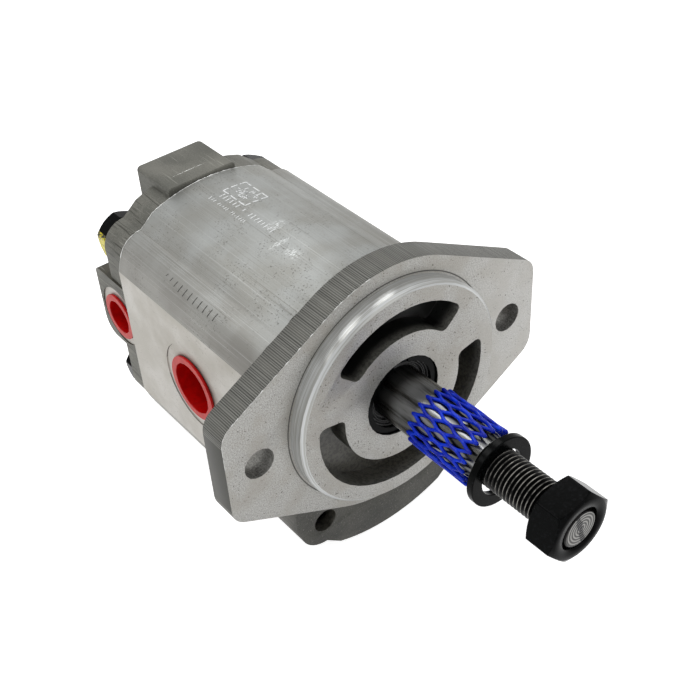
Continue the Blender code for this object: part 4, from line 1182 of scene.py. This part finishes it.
WASHER_R = 12.5
WASHER_HOLE_R = 8.2
WASHER_DROP = 0.9
washer_low, washer_high = box_in_mm("shaft_washer")
washer_front, washer_rear = float(washer_low[1]), float(washer_high[1])
washer_ring = [(WASHER_HOLE_R + 1.5, washer_rear), (WASHER_R, washer_rear),
               (WASHER_R, washer_front), (WASHER_HOLE_R, washer_front),
               (WASHER_HOLE_R, washer_rear), (WASHER_HOLE_R + 1.5, washer_rear)]
washer_points = revolved(eased(washer_ring, 0.3)[:-1], 96, centre=(0, 0, -WASHER_DROP))
washer_data = grid_data("shaft_washer_blackened", washer_points, close_rows=True)
washer_data.materials.append(OXIDE)
washer = add_piece("shaft_washer_blackened", washer_data, "washer", ("shaft_washer",))
even_normals(washer)

BOLT_FLATS = 17.0
BOLT_R = 5.0
HEAD_TURNS = (37.5, 34.0, 39.0, 31.0)
PAINTED_SIDE = (150.0, 235.0)
HEAD_HEIGHT = 6.4
HEAD_CONE = 1.2
HEAD_CORNER = BOLT_FLATS / math.sqrt(3)
for index, head_turn in enumerate(HEAD_TURNS):
    node = f"through_bolt_{index + 1}"
    low, high = box_in_mm(node)
    bolt_x, bolt_z = (low[0] + high[0]) / 2, (low[2] + high[2]) / 2
    head_front, cone_start = high[1] - HEAD_HEIGHT, high[1] - HEAD_CONE
    blank = [(0.0, low[1]), (BOLT_R - 0.8, low[1]), (BOLT_R, low[1] + 0.8)]
    blank += [(BOLT_R, head_front - 0.02), (BOLT_FLATS * 0.47, head_front)]
    blank += [(HEAD_CORNER, height) for height in np.linspace(head_front + 0.1, cone_start, 8)]
    blank += [(HEAD_CORNER - 1.35 * t, cone_start + 0.98 * HEAD_CONE * t) for t in np.linspace(0.15, 1, 6)]
    blank += [(BOLT_FLATS * 0.46, high[1]), (0.0, high[1])]
    at = hexagon_radius(BOLT_FLATS, math.radians(head_turn + 30), BOLT_R + 1)
    bolt_points = revolved(blank, 144, (bolt_x, 0, bolt_z), radius_at=at)
    bolt_data = grid_data(f"bolt_{index + 1}_blackened", bolt_points)

    def painted(centres, normals):
        """1 on the flats that the paint brush reached, on the first bolt only."""
        facing = np.degrees(np.arctan2(centres[:, 2] - bolt_z, centres[:, 0] - bolt_x)) % 360
        reached = (facing > PAINTED_SIDE[0]) & (facing < PAINTED_SIDE[1]) & (centres[:, 1] > head_front)
        return (reached & (index == 0)).astype(int)

    skin_by(bolt_data, (OXIDE, PAINTED), painted)
    add_piece(f"bolt_{index + 1}_blackened", bolt_data, "housing", (node,))
print("nut, washer and", len(HEAD_TURNS), "bolts")

# %% [markdown]
# ## Plastic net sleeve
# The net is extruded through two counter-turning dies: eighteen strands lean one way,
# eighteen the other, and they fuse where they cross. Between crossings a strand swings
# out and back, so its angle follows the distance along the shaft with a gentle S. Each
# strand is a round tube carried along that path.

# %% Net strands
NET_COUNT = 18
NET_ROWS = 4
STRAND_R = 0.62
NET_R = 9.98
NET_TWIST = math.radians(-5)
net_low, net_high = box_in_mm("net_sleeve")
net_start, net_end = float(net_high[1]), float(net_low[1])


def strand_tubes(lean):
    """Tubes of one family: angle = base + lean * half pitch * (row + S(t)), where S(t) is
    t less a sine ripple, so the strand runs straight where it crosses the others."""
    half_pitch = np.pi / NET_COUNT
    along = np.linspace(0, NET_ROWS, NET_ROWS * 10 + 1)
    ripple = along - 0.85 * np.sin(2 * np.pi * along) / (2 * np.pi)
    base = np.arange(NET_COUNT)[:, None] * 2 * half_pitch
    angle = base + lean * half_pitch * ripple[None, :] + NET_TWIST * along[None, :] / NET_ROWS
    length = net_start - net_end - 2 * STRAND_R
    place = net_start - STRAND_R - length * along[None, :] / NET_ROWS + 0 * angle
    radius = NET_R + 0.12 * lean + 0 * angle
    round_by = np.linspace(0, 2 * np.pi, 8, endpoint=False)
    thin = np.ones_like(along)
    thin[0] = thin[-1] = 0.35
    out = radius[..., None] + STRAND_R * thin[None, :, None] * np.cos(round_by)
    aside = STRAND_R * thin[None, :, None] * np.sin(round_by) / NET_R
    turned = angle[..., None] + aside
    return np.stack([out * np.cos(turned), place[..., None] + 0 * out, out * np.sin(turned)], axis=-1)


def capped_tubes(tubes):
    """Vertices and faces of tubes of shape (tubes, stations, sides, 3), with closed ends."""
    count, stations, sides = tubes.shape[:3]
    one = grid_faces(stations, sides)
    shift = (np.arange(count) * stations * sides)[:, None, None]
    quads = (one[None] + shift).reshape(-1, 4).tolist()
    first = (np.arange(sides)[None] + shift[:, 0]).tolist()
    last = (np.arange(sides)[None] + shift[:, 0] + (stations - 1) * sides)[:, ::-1].tolist()
    return tubes.reshape(-1, 3), quads + first + last


net_tubes = np.concatenate([strand_tubes(1), strand_tubes(-1)])
net_points, net_faces = capped_tubes(net_tubes)
net_data = smoothed(closed_mesh("net_strands", net_points, net_faces))
net_data.materials.append(BLUE)
add_piece("net_strands", net_data, "sleeve", ("net_sleeve",))
print("net strands:", len(net_tubes))

# %% [markdown]
# ## Shaft seal
# A lip seal is a rubber ring moulded on a steel case. From the front it shows as a few
# rounded ribs that step down towards the lip on the shaft, so its profile is a slope
# with a sine ripple on it.

# %% Ribbed seal
seal_low, seal_high = box_in_mm("shaft_seal")
seal_outer = float(seal_high[0])
seal_front, seal_rear = float(seal_low[1]), float(seal_high[1])
LIP_R = SHAFT_R + 0.12
RIBS = 3.5
across = np.linspace(0, 1, 40)
rib_radius = seal_outer + (LIP_R - seal_outer) * across
rib_place = seal_front + 0.2 + 1.6 * across ** 2 + 0.35 * np.cos(2 * np.pi * RIBS * across)
seal_profile = [(seal_outer, seal_rear)] + list(zip(rib_radius, rib_place)) + [(LIP_R, seal_rear)]
seal_data = grid_data("shaft_seal_rubber", revolved(seal_profile, 96), close_rows=True)
seal_data.materials.append(RUBBER)
add_piece("shaft_seal_rubber", seal_data, "housing", ("shaft_seal",))

# %% [markdown]
# ## Port caps
# Each cap is a thin cup with a flat rim. The rim faces the light, and its paler tint is
# painted light; the inside is a deep red. Both come from one turned profile with eased
# corners, in the plastic's own red and a paler copy of it for the painted light.

# %% Red caps
def cap_cup(node, body, side, sides=96):
    """A cup turned about X: rim, bore, floor, with painted light on the rim's outer face as a paler red."""
    low, high = box_in_mm(node)
    flange_r = (high[2] - low[2]) / 2
    centre_y, centre_z = (low[1] + high[1]) / 2, (low[2] + high[2]) / 2
    outer, inner = (low[0], high[0]) if side < 0 else (high[0], low[0])
    small = flange_r < 11
    tube_r = 7.6 if small else 10.8
    draft, wall, rim_thickness = 0.4, 0.9, 1.0
    under, floor_place = outer - side * rim_thickness, inner + side * wall
    profile = [(0.0, inner), (tube_r - draft, inner), (tube_r, under), (flange_r, under),
               (flange_r, outer), (tube_r - wall, outer),
               (tube_r - draft - wall, floor_place), (0.0, floor_place)]
    points = revolved(eased(profile, 0.28), sides, (0, centre_y, centre_z), axis="X")
    data = grid_data(node + "_plastic", points)

    def on_rim(centres, normals):
        """1 on the rim's outer face, which takes the painted light, 0 elsewhere."""
        return ((normals[:, 0] * side > 0.9) & (np.abs(centres[:, 0] - outer) < 0.3)).astype(int)

    skin_by(data, (RED, RED_PAINTED_LIGHT), on_rim)
    return even_normals(add_piece(node + "_plastic", data, body, (node,)))


cap_cup("port_cap_left", "left_cap", -1)
cap_cup("port_cap_right", "right_cap", 1)
cap_cup("drain_port_cap", "drain_cap", -1)
print("caps: 3")

# %% [markdown]
# ## Burrs and marks
# Machining leaves a thin rolled burr where the faced flange meets its rim and where the
# body meets the rear cover, and a scored line on the cover's pad. Each shows as a bright
# hairline, so it is a very thin tube along the edge. The row of short strokes on the
# upper left lobe is a plain tally.

# %% Edges that carry a burr
def left_upper(quadrant):
    """Mirrors a quadrant to the left side, from the side up to the top."""
    return quadrant * np.array([-1, 1])


# %% Thin burrs along edges
def burr(name, outline, y, radius, skin):
    """A thin closed tube along an outline in the X and Z plane at one Y, with thin ends."""
    steps = np.linalg.norm(np.diff(outline, axis=0), axis=1)
    run = np.concatenate([[0], np.cumsum(steps)])
    spots = np.linspace(0, run[-1], 160)
    path = np.column_stack([np.interp(spots, run, outline[:, 0]), np.interp(spots, run, outline[:, 1])])
    along = np.gradient(path, axis=0)
    along /= np.linalg.norm(along, axis=1, keepdims=True)
    out = np.column_stack([along[:, 1], -along[:, 0]])
    uneven = 0.65 + 0.35 * np.sin(spots * 1.7) * np.sin(spots * 0.61 + 1.0)
    thick = radius * np.clip(np.minimum(spots, run[-1] - spots) / 6.0, 0.05, 1.0) * uneven
    angle = np.linspace(0, 2 * np.pi, 6, endpoint=False)
    sway = thick[:, None] * np.cos(angle)
    rise = thick[:, None] * np.sin(angle)
    ring = np.stack([path[:, None, 0] + out[:, None, 0] * sway, y + rise,
                     path[:, None, 1] + out[:, None, 1] * sway], axis=-1)
    points, faces = capped_tubes(ring[None])
    data = smoothed(closed_mesh(name, points, faces))
    data.materials.append(skin)
    return add_piece(name, data, "housing")


def bright_burr():
    """Clean bright metal where an edge has been rolled over."""
    skin = Finish("bright_burr", tone(226, 227, 225), 0.3, 0.6)
    skin.colour(skin.mix(skin.step(skin.noise(0.8), 0.35, 0.65), tone(196, 196, 192), tone(240, 241, 240)))
    return skin.material


BURR = bright_burr()
INSIDE_THE_BOX = 0.9977
burr("flange_front_burr", left_upper(flange_quadrant()) * INSIDE_THE_BOX, 0.06, 0.14, BURR)
body_edge = section_quadrant(FLAT_X) + [0, MIDDLE_Z]
burr("body_rear_burr", np.vstack([left_upper(body_edge), body_edge[::-1][1:17]]), 102.25, 0.2, BURR)
PAD_LINE_Y = 109.4
burr("pad_line_bright", np.array([(-9.5, PAD_TOP), (5.6, PAD_TOP)]), PAD_LINE_Y, 0.13, BURR)


# %% Tally strokes
def dark_stroke():
    """Burnt dark line of a marking tool."""
    skin = Finish("dark_stroke", tone(48, 46, 42), 0.6, 0.2)
    skin.colour(skin.mix(skin.step(skin.noise(1.5), 0.4, 0.7), tone(40, 38, 35), tone(86, 83, 77)))
    return skin.material


STROKES = 11
STROKE_FROM, STROKE_TO = 75.0, 45.0
stroke_y = np.linspace(STROKE_FROM, STROKE_TO, STROKES)
strength = np.clip(np.arange(STROKES) / 5.0 + 0.35, 0, 1)
stroke_top = np.radians(125.0)
stroke_sweep = np.radians(17.0) * strength
stroke_t = np.linspace(0, 1, 6)
lobe_centre = np.array([-BOLT_X, BOLT_Z + MIDDLE_Z])
stroke_angle = stroke_top + stroke_sweep[:, None] * stroke_t[None, :]
edge_shift = np.array([-0.5, 0.5])[None, None, :] * (0.16 + 0.16 * strength)[:, None, None]
stroke_points = []
for lift in (0.03, -0.1):
    reach = LOBE_R + lift
    x = lobe_centre[0] + reach * np.cos(stroke_angle)[..., None] + 0 * edge_shift
    z = lobe_centre[1] + reach * np.sin(stroke_angle)[..., None] + 0 * edge_shift
    y = stroke_y[:, None, None] + 0.5 * stroke_t[None, :, None] + edge_shift
    stroke_points.append(np.stack([x, y, z], axis=-1))
top, base = stroke_points
ring = np.stack([top[:, :, 0], top[:, :, 1], base[:, :, 1], base[:, :, 0]], axis=2)
tally_points, tally_faces = capped_tubes(ring)
tally_data = closed_mesh("tally_strokes", tally_points, tally_faces)
tally_data.materials.append(dark_stroke())
add_piece("tally_strokes", tally_data, "housing")
print("tally strokes:", STROKES)

# %% [markdown]
# The rear end of the crown carries a plain etched field: a broken square frame with short
# strokes inside it, and a few rows of ticks that run forwards. It says nothing. Each
# stroke is a thin ribbon that follows the crown's curve.

# %% Etched field on the crown
ETCH_LEFT, ETCH_RIGHT = 0.0, 9.8
ETCH_FRONT, ETCH_REAR = 76.9, 90.4
chance = np.random.default_rng(7)


def frame_dashes():
    """The square's four sides, each broken into three dashes of uneven length."""
    left, right, front, rear = ETCH_LEFT, ETCH_RIGHT, ETCH_FRONT, ETCH_REAR
    sides = np.array([[left, rear, right, rear], [right, rear, right, front],
                      [left, rear, left, front], [left, front, right, front]])
    cuts = np.array([[0.0, 0.24], [0.34, 0.62], [0.72, 1.0]])
    start, end = sides[:, None, :2], sides[:, None, 2:]
    first = start + (end - start) * cuts[None, :, :1]
    last = start + (end - start) * cuts[None, :, 1:]
    return np.concatenate([first, last], axis=2).reshape(-1, 4)


def inner_strokes(count):
    """Short strokes along X or Y on a coarse grid inside the frame."""
    x = np.round(chance.uniform(ETCH_LEFT + 1.5, ETCH_RIGHT - 2.5, count)) + 0.2
    y = np.round(chance.uniform(ETCH_FRONT + 1.5, ETCH_REAR - 3.0, count)) + 0.2
    length = chance.choice([0.8, 1.4, 2.0], count)
    along_x = chance.random(count) < 0.5
    return np.column_stack([x, y, x + length * along_x, y + length * ~along_x])


def tick_row(x, y_from, y_to, step, length):
    """A row of ticks across a line that runs forwards, some of them missing or short."""
    y = np.arange(y_from, y_to, -step)
    y = y[chance.random(len(y)) < 0.86]
    size = length * chance.uniform(0.55, 1.0, len(y))
    return np.column_stack([x - size / 2, y, x + size / 2, y + chance.uniform(-0.3, 0.3, len(y))])


def crown_z(x):
    """Height of the crown's round top over a place across the body."""
    return MIDDLE_Z + CROWN_TOP - CROWN_R + np.sqrt(CROWN_R ** 2 - x ** 2)


def crown_ribbons(dashes, width):
    """Thin slabs of shape (dashes, stations, 4, 3), just proud of the crown."""
    t = np.linspace(0, 1, 4)[None, :, None]
    start, end = dashes[:, None, :2], dashes[:, None, 2:]
    middle = start + (end - start) * t
    along = (end - start) / np.linalg.norm(end - start, axis=2, keepdims=True)
    side = np.stack([-along[..., 1], along[..., 0]], axis=-1) * width / 2
    left, right = middle - side, middle + side
    edges = [np.dstack([edge, crown_z(edge[..., 0]) + lift]) for edge, lift in
             ((left, 0.03), (right, 0.03), (right, -0.1), (left, -0.1))]
    return np.stack(edges, axis=2)


def etched_metal():
    """Pale, matt metal where a marking tool has lifted the skin."""
    skin = Finish("etched_metal", tone(236, 239, 239), 0.6, 0.0)
    worn = skin.step(skin.noise(1.3, 3.0), 0.36, 0.5)
    skin.colour(skin.mix(worn, tone(190, 193, 191), tone(246, 248, 248)))
    return skin.material


etched = [crown_ribbons(frame_dashes(), 0.6), crown_ribbons(inner_strokes(30), 0.45),
          crown_ribbons(tick_row(-2.0, 88.0, 57.0, 1.9, 2.8), 0.5),
          crown_ribbons(tick_row(-5.8, 90.0, 68.0, 1.3, 1.6), 0.36)]
etched_points, etched_faces = capped_tubes(np.concatenate(etched))
etched_data = closed_mesh("etched_field", etched_points, etched_faces)
etched_data.materials.append(etched_metal())
add_piece("etched_field", etched_data, "housing")
print("etched strokes:", sum(len(part) for part in etched))

# %% [markdown]
# ## Inner parts
# The gears, bearing blocks, bushes, dowels and seals keep their CAD shape, because the
# covers hide them. They still get true finishes, for anyone who takes the motor apart.


# %% Finishes of the inner parts
def plain_metal(name, dark, light, roughness):
    """Machined inner part: two close tones and a fine turned relief."""
    skin = Finish(name, light, roughness, 0.9)
    grain = skin.noise(1.2, 3.0)
    skin.colour(skin.mix(skin.step(grain, 0.35, 0.65), dark, light))
    skin.roughness(grain, roughness - 0.08, roughness + 0.1)
    skin.bump(grain, 0.01)
    return skin.material


BEARING = plain_metal("bearing_aluminium", tone(170, 172, 173), tone(196, 197, 198), 0.38)
BRONZE = plain_metal("lined_bronze", tone(150, 112, 66), tone(186, 142, 86), 0.36)
GREEN = moulded_plastic("green_rubber", tone(20, 58, 36), tone(30, 78, 50), 0.5, 0.0)
inner_finish = {"bearing_block": BEARING, "bush": BRONZE, "balance_seal": GREEN, "body_seal": RUBBER,
                "dowel": STEEL, "idler_gear": STEEL, "shaft_key": STEEL, "retaining_ring": OXIDE}
for node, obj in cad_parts.items():
    for word, skin in inner_finish.items():
        if word in node:
            obj.data.materials.clear()
            obj.data.materials.append(skin)
print("inner parts finished")
